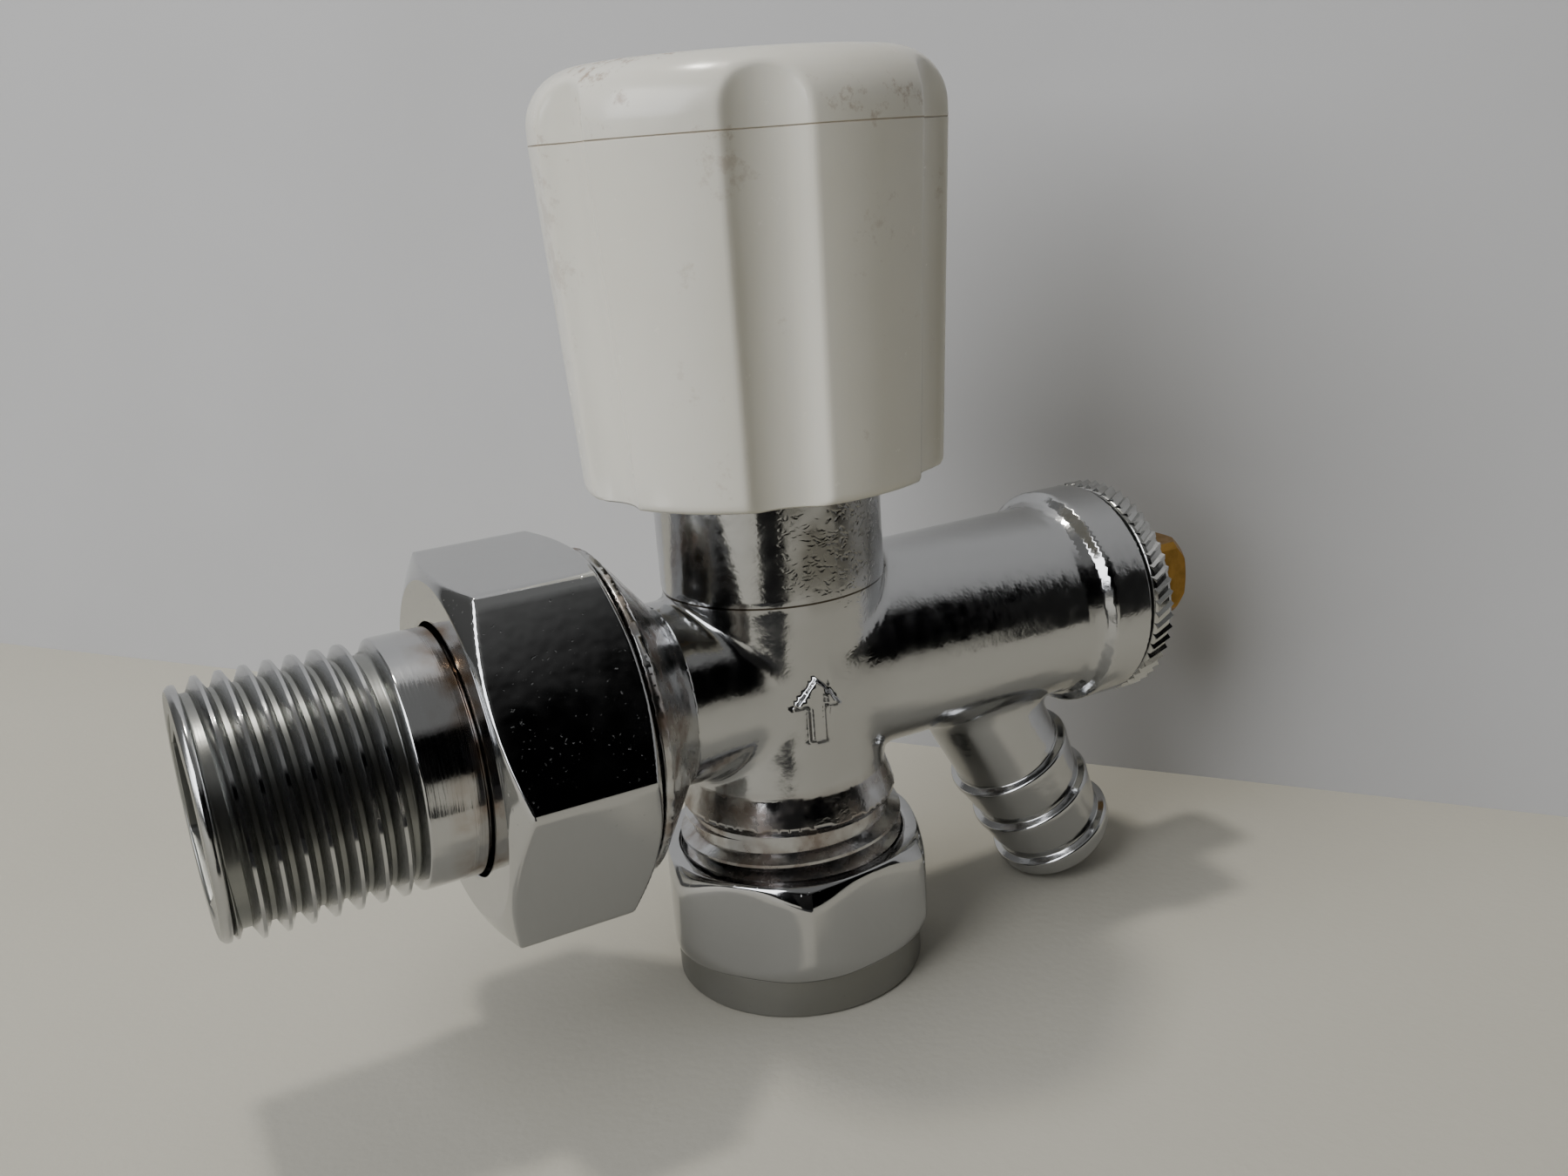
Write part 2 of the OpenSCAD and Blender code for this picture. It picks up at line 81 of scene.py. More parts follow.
def add(tree, kind, links=None, **settings):
    """A node with its settings; links gives the value or the source of each input."""
    node = tree.nodes.new(kind)
    for key, value in settings.items():
        setattr(node, key, value)
    for key, value in (links or {}).items():
        if isinstance(value, bpy.types.NodeSocket):
            tree.links.new(value, node.inputs[key])
        else:
            node.inputs[key].default_value = value
    return node


def new_material(name):
    """An empty material, its tree, its shader, and a place in millimetres to hang patterns on."""
    material = bpy.data.materials.new(name)
    material.use_nodes = True
    tree = material.node_tree
    tree.nodes.clear()
    shader = add(tree, "ShaderNodeBsdfPrincipled")
    add(tree, "ShaderNodeOutputMaterial", {"Surface": shader.outputs[0]})
    place = add(tree, "ShaderNodeVectorMath", {
        0: add(tree, "ShaderNodeTexCoord").outputs["Object"], 1: (1000, 1000, 1000)}, operation="MULTIPLY")
    return material, tree, shader, place.outputs[0]


def new_piece(name, vertices, faces, material):
    """A mesh object at the origin, from points in millimetres."""
    mesh = bpy.data.meshes.new(name)
    mesh.from_pydata((np.asarray(vertices, float) * MM).tolist(), [], faces)
    mesh.materials.append(material)
    mesh.update()
    piece = bpy.data.objects.new(name, mesh)
    scene.collection.objects.link(piece)
    return piece


def see_through_behind(tree, shader):
    """The floor and the wall show only from their front."""
    clear = add(tree, "ShaderNodeBsdfTransparent")
    behind = add(tree, "ShaderNodeNewGeometry").outputs["Backfacing"]
    mixed = add(tree, "ShaderNodeMixShader", {0: behind, 1: shader.outputs[0], 2: clear.outputs[0]})
    tree.links.new(mixed.outputs[0], tree.nodes["Material Output"].inputs["Surface"])


paper, tree, shader, place = new_material("pale_paper")
fibres = add(tree, "ShaderNodeTexNoise", {"Vector": place, "Scale": 1.1, "Detail": 6})
mottle = add(tree, "ShaderNodeTexNoise", {"Vector": place, "Scale": 0.02, "Detail": 3})
tone = add(tree, "ShaderNodeMixRGB", {
    "Fac": mottle.outputs["Fac"], "Color1": linear("#aca99d"), "Color2": linear("#b5b2a7")})
tree.links.new(tone.outputs[0], shader.inputs["Base Color"])
shader.inputs["Roughness"].default_value = 0.8
grain = add(tree, "ShaderNodeBump", {"Height": fibres.outputs["Fac"], "Strength": 0.4, "Distance": 0.0001})
tree.links.new(grain.outputs[0], shader.inputs["Normal"])
see_through_behind(tree, shader)
# The paper lies a hair below the valve, so that the two never share a plane.
floor_z = -0.02
reach = 900
floor = new_piece("paper_floor", [(x * reach, y * reach, floor_z) for x, y in ((-1, -1), (1, -1), (1, 1), (-1, 1))],
                  [(0, 1, 2, 3)], paper)

# The wall faces back past the valve towards the camera.
wall_paint, tree, shader, place = new_material("white_wall")
mottle = add(tree, "ShaderNodeTexNoise", {"Vector": place, "Scale": 0.03, "Detail": 4})
tone = add(tree, "ShaderNodeMixRGB", {
    "Fac": mottle.outputs["Fac"], "Color1": linear("#b1b1b1"), "Color2": linear("#bababb")})
tree.links.new(tone.outputs[0], shader.inputs["Base Color"])
shader.inputs["Roughness"].default_value = 0.7
see_through_behind(tree, shader)
wall_away = np.array([0.8, 0.6, 0])
wall_along = np.array([-0.6, 0.8, 0])
wall_foot = wall_away * 50
wall_low = [wall_foot + wall_along * reach, wall_foot - wall_along * 300]
wall = new_piece("white_wall", [wall_low[0], wall_low[1], wall_low[1] + [0, 0, 500], wall_low[0] + [0, 0, 500]],
                 [(0, 1, 2, 3)], wall_paint)

# Black cards stand in front of the valve and lie on the floor, seen only in the chrome: dark sheets that put a
# painted dark reflection of the shaded room on the camera's side into it.
dark_reflection_card, tree, shader, place = new_material("dark_reflection_card")
shader.inputs["Base Color"].default_value = linear("#0a0a0b")
shader.inputs["Roughness"].default_value = 0.9
card = new_piece("dark_reflection_card", [(-75, -95, 0), (-22, -95, 0), (-22, -95, 75), (-75, -95, 75),
                                (78, -95, 0), (150, -95, 0), (150, -95, 75), (78, -95, 75),
                                (-75, -95, 0.3), (-22, -95, 0.3), (-22, -52, 0.3), (-75, -52, 0.3)],
                 [(0, 3, 2, 1), (4, 7, 6, 5), (8, 9, 10, 11)], dark_reflection_card)
card.visible_camera = card.visible_diffuse = card.visible_shadow = card.visible_transmission = False


def area_light(name, place, target, size, power, colour):
    """A square soft light at a place, turned towards a target."""
    data = bpy.data.lights.new(name, "AREA")
    data.size = size
    data.energy = power
    data.color = linear(colour)[:3]
    lamp = bpy.data.objects.new(name, data)
    aim = Vector(target) - Vector(place)
    lamp.matrix_world = Matrix.Translation(place) @ aim.to_track_quat("-Z", "Y").to_matrix().to_4x4()
    scene.collection.objects.link(lamp)


area_light("lamp_above", (-0.06, 0.10, 0.70), (0, 0, 0.03), 0.06, 1.75, "#fffaf0")
area_light("window", (-0.52, -0.12, 0.36), (0, 0, 0.04), 0.50, 4.6, "#fbfcff")

world = bpy.data.worlds.new("room")
world.use_nodes = True
room = world.node_tree
room.nodes.clear()
direction = add(room, "ShaderNodeSeparateXYZ", {0: add(room, "ShaderNodeTexCoord").outputs["Generated"]})
height_tone = add(room, "ShaderNodeValToRGB", {"Fac": direction.outputs["Z"]})
height_tone.color_ramp.elements[0].position = 0.0
height_tone.color_ramp.elements[0].color = linear("#9a9a98")
height_tone.color_ramp.elements[1].position = 0.6
height_tone.color_ramp.elements[1].color = linear("#e6e6e4")
near_side = add(room, "ShaderNodeMapRange", {
    "Value": direction.outputs["Y"], "From Min": -0.42, "From Max": -0.25, "To Min": 1.0, "To Max": 0.0})
low_side = add(room, "ShaderNodeMapRange", {
    "Value": direction.outputs["Z"], "From Min": 0.60, "From Max": 0.70, "To Min": 1.0, "To Max": 0.0})
dark_room = add(room, "ShaderNodeMath", {0: near_side.outputs[0], 1: low_side.outputs[0]},
                operation="MULTIPLY")
unseen = add(room, "ShaderNodeMath", {
    0: 1.0, 1: add(room, "ShaderNodeLightPath").outputs["Is Camera Ray"]}, operation="SUBTRACT")
dark_room = add(room, "ShaderNodeMath", {0: dark_room.outputs[0], 1: unseen.outputs[0]}, operation="MULTIPLY")
room_tone = add(room, "ShaderNodeMixRGB", {
    "Fac": dark_room.outputs[0], "Color1": height_tone.outputs[0], "Color2": linear("#0a0a0c")})
background = add(room, "ShaderNodeBackground", {"Color": room_tone.outputs[0], "Strength": 0.26})
add(room, "ShaderNodeOutputWorld", {"Surface": background.outputs[0]})
scene.world = world

# ---------------------------------------------------------------------------------------------------
# Valve body. A brass hot forging, bored and turned where the other pieces meet it, then plated with
# bright chromium. The legs flow into each other, and the plating keeps the forging's orange peel.

RUN_Z = 29.75
spout_foot = np.array([17.06, 0, RUN_Z])
spout_way = np.array([0.481754, 0, -0.876307])


def smooth_min(a, b, k):
    h = np.clip(0.5 + 0.5 * (b - a) / k, 0, 1)
    return b + (a - b) * h - k * h * (1 - h)


def smooth_max(a, b, k):
    return -smooth_min(-a, -b, k)


def turned_shape(radius, along, outline, k=0.4):
    """Distance outside a turned bar whose radius follows the outline's (along, radius) points."""
    steps, radii = zip(*outline)
    side = radius - np.interp(along, steps, radii)
    return smooth_max(side, np.maximum(steps[0] - along, along - steps[-1]), k)


def arrow_shape(x, z):
    """Distance outside the outline of an upright arrow, seen from the front."""
    aside = np.abs(x + 1.4)
    shaft = np.maximum(aside - 0.7, np.maximum(25.7 - z, z - 29.4))
    head = np.maximum(29.0 - z, (aside - 2.0) * 0.79 + (z - 29.0) * 0.61)
    return smooth_min(shaft, head, 0.2)


def body_field(p):
    """Distance outside the body's metal, in millimetres; negative inside it."""
    x, y, z = p[..., 0], p[..., 1], p[..., 2]
    r_stem = np.hypot(x, y)
    r_run = np.hypot(y, z - RUN_Z)
    from_spout = p - spout_foot
    s = from_spout @ spout_way
    r_spout = np.sqrt(np.maximum((from_spout**2).sum(-1) - s**2, 0))
    stem = turned_shape(r_stem, z, [(5.4, 9.0), (5.7, 9.317), (17, 9.317), (17.7, 10.05), (18.6, 9.8), (20.4, 9.2),
                                    (29.75, 9.2), (38.2, 9.98), (38.7, 10.08), (50.5, 10.08)])
    leg = turned_shape(r_run, x, [(0, 9.49), (28.6, 9.49), (29.6, 9.6), (30.3, 9.95), (30.9, 10.75), (31.3, 10.8),
                                  (35.2, 10.8), (35.5, 10.6)])
    neck = turned_shape(r_run, -x, [(0, 8.3), (12.2, 8.3), (13, 9.1), (17.2, 14.2), (17.4, 14.4), (18.1, 14.4)], 0.2)
    neck = np.minimum(neck, turned_shape(r_run, -x, [(16.5, 12.6), (25, 12.6)]))
    spout = turned_shape(r_spout, s, [(0, 5.75), (17.6, 5.6)], 0.1)
    metal = smooth_min(smooth_min(stem, neck, 0.9), leg, 0.9)
    metal = smooth_min(metal, spout, 1.6)
    arrow = smooth_max(smooth_max(arrow_shape(x, z), metal - 0.5, 0.25), y, 0.1)
    metal = smooth_min(metal, arrow, 0.25)
    seat = np.maximum(r_stem - 6.2, z - 24.4)
    drain_seat = np.maximum(r_run - 4.4, x - 12.8)
    hollow = np.maximum(r_stem - 7.6, z - 17)
    hollow = np.minimum(hollow, r_stem - np.interp(z, [5.4, 8], [9, 7.6]) + np.maximum(z - 8, 0) * 9)
    hollow = np.minimum(hollow, np.maximum(r_stem - 4.4, z - 24.6))
    hollow = np.minimum(hollow, np.maximum(np.maximum(r_stem - 7.4, 22.8 - z), -seat))
    hollow = np.minimum(hollow, np.maximum(r_stem - 7.9, 38.3 - z))
    hollow = np.minimum(hollow, np.maximum(r_run - 5.6, x + 6.8))
    hollow = np.minimum(hollow, np.maximum(r_run - np.interp(-x, [22.7, 25], [7.2, 9.3]), x + 22.7))
    hollow = np.minimum(hollow, np.maximum(r_run - 2.8, np.maximum(5.5 - x, x - 14)))
    hollow = np.minimum(hollow, np.maximum(np.maximum(r_run - 7.5, 11.6 - x), -drain_seat))
    hollow = np.minimum(hollow, np.maximum(r_spout - 3.3, np.maximum(5 - s, s - 13)))
    hollow = np.minimum(hollow, np.maximum(r_spout - 3.6, 12 - s))
    return smooth_max(metal, -hollow, 0.3)


def field_slope(field, p, h):
    """The field's gradient by central differences."""
    return np.stack([(field(p + step) - field(p - step)) / (2 * h) for step in np.eye(3) * h], -1)


def skin_of(field, low, high, cell):
    """Points, quads and outward normals of the surface where the field is zero."""
    ticks = [np.arange(a, b + cell, cell) for a, b in zip(low, high)]
    grid = np.stack(np.meshgrid(*ticks, indexing="ij"), -1)
    value = np.concatenate([field(slab) for slab in np.array_split(grid, 12)])
    inside = value < 0
    shape = np.array(value.shape)
    total = np.zeros((*(shape - 1), 3))
    count = np.zeros(shape - 1, int)
    quads = []
    for axis in range(3):
        a = [slice(None)] * 3
        b = [slice(None)] * 3
        a[axis], b[axis] = slice(0, -1), slice(1, None)
        crossed = np.argwhere(inside[tuple(a)] != inside[tuple(b)])
        unit = np.eye(3, dtype=int)[axis]
        va, vb = value[tuple(crossed.T)], value[tuple((crossed + unit).T)]
        points = crossed + unit * (va / (va - vb))[:, None]
        others = [np.eye(3, dtype=int)[(axis + k) % 3] for k in (1, 2)]
        corners = []
        for m, n in ((0, 0), (1, 0), (1, 1), (0, 1)):
            around = crossed - m * others[0] - n * others[1]
            kept = ((around >= 0) & (around < shape - 1)).all(1)
            np.add.at(total, tuple(around[kept].T), points[kept])
            np.add.at(count, tuple(around[kept].T), 1)
            corners.append(np.ravel_multi_index(tuple(np.clip(around, 0, shape - 2).T), tuple(shape - 1)))
        quad = np.stack(corners, 1)
        outward = va < 0
        quads.append(np.where(outward[:, None], quad, quad[:, ::-1]))
    used = count.ravel() > 0
    points = (total.reshape(-1, 3)[used] / count.ravel()[used, None]) * cell + np.array(low)
    number = np.cumsum(used) - 1
    quads = number[np.concatenate(quads)]
    for _ in range(4):
        slope = field_slope(field, points, 0.04)
        length = np.maximum((slope**2).sum(-1), 0.2)
        points -= np.clip(field(points) / length, -0.3, 0.3)[:, None] * slope
    normals = field_slope(field, points, 0.05)
    return points, quads, normals / np.maximum(np.linalg.norm(normals, axis=1, keepdims=True), 1e-6)


# Bright chromium over a buffed forging: mirror-like, softened by orange peel about 1 mm across, pitted
# where the die wore in the middle of the boss, brown with old flux and grime in the corners.
forged_chrome, tree, shader, place = new_material("forged_chrome")
axes = add(tree, "ShaderNodeSeparateXYZ", {0: place})
peel = add(tree, "ShaderNodeTexNoise", {"Vector": place, "Scale": 1 / 1.3, "Detail": 2})
fine = add(tree, "ShaderNodeTexNoise", {"Vector": place, "Scale": 1 / 0.28, "Detail": 3})
bent = add(tree, "ShaderNodeVectorMath", {0: peel.outputs["Color"], 1: (1.6, 1.6, 1.6), 2: place},
           operation="MULTIPLY_ADD")
long_grain = add(tree, "ShaderNodeVectorMath", {0: bent.outputs[0], 1: (0.9, 1.5, 1.9)}, operation="MULTIPLY")
pit_cells = add(tree, "ShaderNodeTexVoronoi", {"Vector": long_grain.outputs[0], "Scale": 1.3})
pit_depth = add(tree, "ShaderNodeMapRange", {
    "Value": pit_cells.outputs["Distance"], "From Min": 0.10, "From Max": 0.50, "To Min": -1, "To Max": 0})
pit_patch = add(tree, "ShaderNodeTexNoise", {"Vector": place, "Scale": 1 / 5.5, "Detail": 2})
pit_where = add(tree, "ShaderNodeMapRange", {
    "Value": pit_patch.outputs["Fac"], "From Min": 0.32, "From Max": 0.48})
on_boss = add(tree, "ShaderNodeMapRange", {
    "Value": axes.outputs["Z"], "From Min": 37.0, "From Max": 41.0, "To Min": 0.12, "To Max": 1.0})
off_middle = add(tree, "ShaderNodeMath", {0: axes.outputs["X"], 1: -1.5}, operation="ADD")
off_middle = add(tree, "ShaderNodeMath", {0: off_middle.outputs[0]}, operation="ABSOLUTE")
in_middle = add(tree, "ShaderNodeMapRange", {
    "Value": off_middle.outputs[0], "From Min": 3.5, "From Max": 6.0, "To Min": 1.0, "To Max": 0.08})
pit_amount = add(tree, "ShaderNodeMath", {0: pit_where.outputs[0], 1: on_boss.outputs[0]},
                 operation="MULTIPLY")
pit_amount = add(tree, "ShaderNodeMath", {0: pit_amount.outputs[0], 1: in_middle.outputs[0]},
                 operation="MULTIPLY")
pits = add(tree, "ShaderNodeMath", {0: pit_depth.outputs[0], 1: pit_amount.outputs[0]}, operation="MULTIPLY")
bump = add(tree, "ShaderNodeBump", {"Height": peel.outputs["Fac"], "Distance": 0.00003})
bump = add(tree, "ShaderNodeBump", {
    "Height": fine.outputs["Fac"], "Strength": 0.7, "Distance": 0.000006, "Normal": bump.outputs[0]})
bump = add(tree, "ShaderNodeBump", {
    "Height": pits.outputs[0], "Distance": 0.000055, "Normal": bump.outputs[0]})
tree.links.new(bump.outputs[0], shader.inputs["Normal"])
by_flange = add(tree, "ShaderNodeMapRange", {
    "Value": axes.outputs["X"], "From Min": -14.6, "From Max": -12.0, "To Min": 1.0, "To Max": 0.0})
by_undercut = add(tree, "ShaderNodeMapRange", {
    "Value": axes.outputs["Z"], "From Min": 19.6, "From Max": 21.2, "To Min": 0.8, "To Max": 0.0})
off_spout = add(tree, "ShaderNodeMapRange", {
    "Value": axes.outputs["X"], "From Min": 11.5, "From Max": 13.0, "To Min": 1.0, "To Max": 0.0})
by_undercut = add(tree, "ShaderNodeMath", {0: by_undercut.outputs[0], 1: off_spout.outputs[0]},
                  operation="MULTIPLY")
stain_place = add(tree, "ShaderNodeMath", {0: by_flange.outputs[0], 1: by_undercut.outputs[0]},
                  operation="MAXIMUM")
stain_patch = add(tree, "ShaderNodeTexNoise", {"Vector": place, "Scale": 1 / 2.6, "Detail": 5})
stain_edge = add(tree, "ShaderNodeMapRange", {
    "Value": stain_patch.outputs["Fac"], "From Min": 0.40, "From Max": 0.68, "To Min": 0.0, "To Max": 0.75})
stain = add(tree, "ShaderNodeMath", {0: stain_place.outputs[0], 1: stain_edge.outputs[0]},
            operation="MULTIPLY")
# A fine groove round the stem marks where the boss was turned down to. The groove has no shape of its own here: its
# shade is painted as a dark line in the colour.
level = add(tree, "ShaderNodeVectorMath", {0: place, 1: (1, 1, 0)}, operation="MULTIPLY")
out = add(tree, "ShaderNodeVectorMath", {0: level.outputs[0]}, operation="LENGTH")
on_stem = add(tree, "ShaderNodeMath", {0: out.outputs["Value"], 1: 10.0, 2: 0.35}, operation="COMPARE")
at_groove = add(tree, "ShaderNodeMath", {0: axes.outputs["Z"], 1: 38.45, 2: 0.09}, operation="COMPARE")
groove_shade = add(tree, "ShaderNodeMath", {0: on_stem.outputs[0], 1: at_groove.outputs[0]}, operation="MULTIPLY")
worn_tone = add(tree, "ShaderNodeMixRGB", {
    "Fac": pit_amount.outputs[0], "Color1": linear("#bdbebf"), "Color2": linear("#8f8e8a")})
tone = add(tree, "ShaderNodeMixRGB", {
    "Fac": stain.outputs[0], "Color1": worn_tone.outputs[0], "Color2": linear("#70523a")})
# Painted shade: the groove's dark line.
tone = add(tree, "ShaderNodeMixRGB", {
    "Fac": groove_shade.outputs[0], "Color1": tone.outputs[0], "Color2": linear("#4a443d")})
tree.links.new(tone.outputs[0], shader.inputs["Base Color"])
haze = add(tree, "ShaderNodeMapRange", {
    "Value": peel.outputs["Fac"], "From Min": 0.35, "From Max": 0.7, "To Min": 0.11, "To Max": 0.19})
dull = add(tree, "ShaderNodeMath", {0: stain.outputs[0], 1: 0.3, 2: haze.outputs[0]},
           operation="MULTIPLY_ADD")
dull = add(tree, "ShaderNodeMath", {0: pit_amount.outputs[0], 1: 0.12, 2: dull.outputs[0]},
           operation="MULTIPLY_ADD")
tree.links.new(dull.outputs[0], shader.inputs["Roughness"])
shader.inputs["Metallic"].default_value = 1.0

# A box a little larger than the body, in cells small enough for the raised arrow.
box_low, box_high, cell_size = (-25.6, -15.4, -0.6), (37.6, 15.4, 51.4), 0.42
points, quads, normals = skin_of(body_field, box_low, box_high, cell_size)
body = new_piece("forged_body", points, quads.tolist(), forged_chrome)
body.data.polygons.foreach_set("use_smooth", np.ones(len(body.data.polygons), bool))
body.data.normals_split_custom_set_from_vertices(normals.tolist())
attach(body, "root")
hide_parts("valve_body")

# The male thread at the inlet: a right-hand half-inch pipe thread cut on the forging's turned end,
# plated with it.

UP = Matrix.Identity(4)
LEFT = Matrix.Translation((0, 0, RUN_Z * MM)) @ Matrix.Rotation(-math.pi / 2, 4, "Y")
RIGHT = Matrix.Translation((0, 0, RUN_Z * MM)) @ Matrix.Rotation(math.pi / 2, 4, "Y")
PITCH = 1.814


def mesh_from_tree(name, tree, values, place, material):
    """The mesh a geometry tree makes from the named values, in millimetres, turned into its place."""
    holder = bpy.data.objects.new(name, bpy.data.meshes.new(name))
    scene.collection.objects.link(holder)
    maker = holder.modifiers.new("maker", "NODES")
    maker.node_group = tree
    for item in tree.interface.items_tree:
        if item.in_out == "INPUT" and item.name in values:
            maker[item.identifier] = values[item.name]
        if item.in_out == "INPUT" and item.name == "Material":
            maker[item.identifier] = material
    bpy.context.view_layer.update()
    made = bpy.data.meshes.new_from_object(holder.evaluated_get(bpy.context.evaluated_depsgraph_get()))
    holder.modifiers.remove(maker)
    made.transform(place @ Matrix.Scale(MM, 4))
    holder.data = made
    edges = bmesh.new()
    edges.from_mesh(made)
    bmesh.ops.recalc_face_normals(edges, faces=edges.faces)
    for face in edges.faces:
        face.smooth = True
    for edge in edges.edges:
        edge.smooth = edge.calc_face_angle(0) < math.radians(32)
    edges.to_mesh(made)
    edges.free()
    return holder


thread_tree = bpy.data.node_groups.new("screw_thread", "GeometryNodeTree")
for label, kind in (("Root Radius", "Float"), ("Start", "Float"), ("Turns", "Float"), ("Pitch", "Float"),
                    ("Depth", "Float"), ("Material", "Material")):
    thread_tree.interface.new_socket(label, in_out="INPUT", socket_type=f"NodeSocket{kind}")
thread_tree.interface.new_socket("Thread", in_out="OUTPUT", socket_type="NodeSocketGeometry")
given = add(thread_tree, "NodeGroupInput").outputs
rise = add(thread_tree, "ShaderNodeMath", {0: given["Turns"], 1: given["Pitch"]}, operation="MULTIPLY")
helix = add(thread_tree, "GeometryNodeCurveSpiral", {
    "Resolution": 72, "Rotations": given["Turns"], "Start Radius": given["Root Radius"],
    "End Radius": given["Root Radius"], "Height": rise.outputs[0], "Reverse": True})
upright = add(thread_tree, "GeometryNodeSetCurveNormal", {"Curve": helix.outputs[0]})
upright.mode = "Z_UP"
foot_width = add(thread_tree, "ShaderNodeMath", {0: given["Pitch"], 1: 0.84}, operation="MULTIPLY")
crest_width = add(thread_tree, "ShaderNodeMath", {0: given["Pitch"], 1: 0.15}, operation="MULTIPLY")
tooth = add(thread_tree, "GeometryNodeCurvePrimitiveQuadrilateral", {
    "Bottom Width": foot_width.outputs[0], "Top Width": crest_width.outputs[0], "Height": given["Depth"],
    "Offset": 0.0}, mode="TRAPEZOID")
half_depth = add(thread_tree, "ShaderNodeMath", {0: given["Depth"], 1: 0.5}, operation="MULTIPLY")
outward = add(thread_tree, "ShaderNodeCombineXYZ", {"X": half_depth.outputs[0]})
standing = add(thread_tree, "GeometryNodeTransform", {
    "Geometry": tooth.outputs[0], "Translation": outward.outputs[0], "Rotation": (0, 0, -math.pi / 2)})
along = add(thread_tree, "GeometryNodeSplineParameter")
from_start = add(thread_tree, "ShaderNodeMath", {0: along.outputs["Factor"], 1: given["Turns"]},
                 operation="MULTIPLY")
to_end = add(thread_tree, "ShaderNodeMath", {0: given["Turns"], 1: from_start.outputs[0]},
             operation="SUBTRACT")
nearer = add(thread_tree, "ShaderNodeMath", {0: from_start.outputs[0], 1: to_end.outputs[0]},
             operation="MINIMUM")
fading = add(thread_tree, "ShaderNodeMapRange", {
    "Value": nearer.outputs[0], "From Min": 0.0, "From Max": 0.3, "To Min": 0.05, "To Max": 1.0})
swept = add(thread_tree, "GeometryNodeCurveToMesh", {
    "Curve": upright.outputs[0], "Profile Curve": standing.outputs[0], "Scale": fading.outputs[0],
    "Fill Caps": True})
lifted = add(thread_tree, "ShaderNodeCombineXYZ", {"Z": given["Start"]})
raised = add(thread_tree, "GeometryNodeTransform", {"Geometry": swept.outputs[0], "Translation": lifted.outputs[0]})
joined = add(thread_tree, "GeometryNodeRealizeInstances", {0: raised.outputs[0]})
painted = add(thread_tree, "GeometryNodeSetMaterial", {
    "Geometry": joined.outputs[0], "Material": given["Material"]})
add(thread_tree, "NodeGroupOutput", {0: painted.outputs[0]})

inlet_thread = mesh_from_tree("inlet_thread", thread_tree, {
    "Root Radius": 9.25, "Start": 6.2, "Turns": 5.6, "Pitch": PITCH, "Depth": 1.2}, UP, forged_chrome)
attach(inlet_thread, "root")


# ---------------------------------------------------------------------------------------------------
# Headgear, spindles and jumpers. Brass turned from bar, left bright, hidden inside the valve except for
# the drain spindle's square end. They keep their own shapes and take their finishes here.


def turned_brass(name, axis, colour, tarnish):
    """Bar brass with the fine rings a lathe tool leaves round one axis, and a brown bloom."""
    material, tree, shader, place = new_material(name)
    squeeze = [0.12, 0.12, 0.12]
    squeeze["XYZ".index(axis)] = 7.0
    stretched = add(tree, "ShaderNodeVectorMath", {0: place, 1: squeeze}, operation="MULTIPLY")
    rings = add(tree, "ShaderNodeTexNoise", {"Vector": stretched.outputs[0], "Scale": 1.0, "Detail": 3})
    bloom = add(tree, "ShaderNodeTexNoise", {"Vector": place, "Scale": 1 / 1.8, "Detail": 5})
    bloom_edge = add(tree, "ShaderNodeMapRange", {
        "Value": bloom.outputs["Fac"], "From Min": 0.42, "From Max": 0.72, "To Min": 0.0, "To Max": 0.8})
    tone = add(tree, "ShaderNodeMixRGB", {
        "Fac": bloom_edge.outputs[0], "Color1": linear(colour), "Color2": linear(tarnish)})
    tree.links.new(tone.outputs[0], shader.inputs["Base Color"])
    matt = add(tree, "ShaderNodeMapRange", {
        "Value": bloom.outputs["Fac"], "From Min": 0.3, "From Max": 0.75, "To Min": 0.26, "To Max": 0.5})
    tree.links.new(matt.outputs[0], shader.inputs["Roughness"])
    cut = add(tree, "ShaderNodeBump", {"Height": rings.outputs["Fac"], "Strength": 0.7, "Distance": 0.00002})
    tree.links.new(cut.outputs[0], shader.inputs["Normal"])
    shader.inputs["Metallic"].default_value = 1.0
    return material


def soft_part(name, dark, light, grain_size, roughness):
    """A washer, seal or packing: a dull, slightly uneven surface with a grain."""
    material, tree, shader, place = new_material(name)
    grain = add(tree, "ShaderNodeTexNoise", {"Vector": place, "Scale": 1 / grain_size, "Detail": 4})
    tone = add(tree, "ShaderNodeMixRGB", {
        "Fac": grain.outputs["Fac"], "Color1": linear(dark), "Color2": linear(light)})
    tree.links.new(tone.outputs[0], shader.inputs["Base Color"])
    rough = add(tree, "ShaderNodeBump", {"Height": grain.outputs["Fac"], "Strength": 0.5, "Distance": 0.00004})
    tree.links.new(rough.outputs[0], shader.inputs["Normal"])
    shader.inputs["Roughness"].default_value = roughness
    return material


upright_brass = turned_brass("upright_brass", "Z", "#c69b4b", "#8a6a33")
level_brass = turned_brass("level_brass", "X", "#a98242", "#775c2b")
black_rubber = soft_part("black_rubber", "#121213", "#222224", 0.3, 0.55)
red_fibre = soft_part("red_fibre", "#5d241b", "#7d3a2b", 0.5, 0.75)
white_packing = soft_part("white_packing", "#c9c7c0", "#e2e0da", 0.6, 0.6)
zinc_steel = turned_brass("zinc_steel", "Z", "#b7babf", "#8f9298")
for node, finish in {
    "headgear": upright_brass, "gland_nut": upright_brass, "spindle": upright_brass, "jumper": upright_brass,
    "washer_nut": upright_brass, "olive": upright_brass, "drain_spindle": level_brass,
    "drain_jumper": level_brass, "drain_washer_nut": level_brass, "spindle_o_ring": black_rubber,
    "seat_washer": black_rubber, "drain_o_ring": black_rubber, "drain_washer": black_rubber,
    "drain_cap_gasket": black_rubber, "headgear_seal_ring": red_fibre, "gland_packing": white_packing,
    "wheelhead_screw": zinc_steel,
}.items():
    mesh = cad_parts[node].data
    mesh.materials.clear()
    mesh.materials.append(finish)

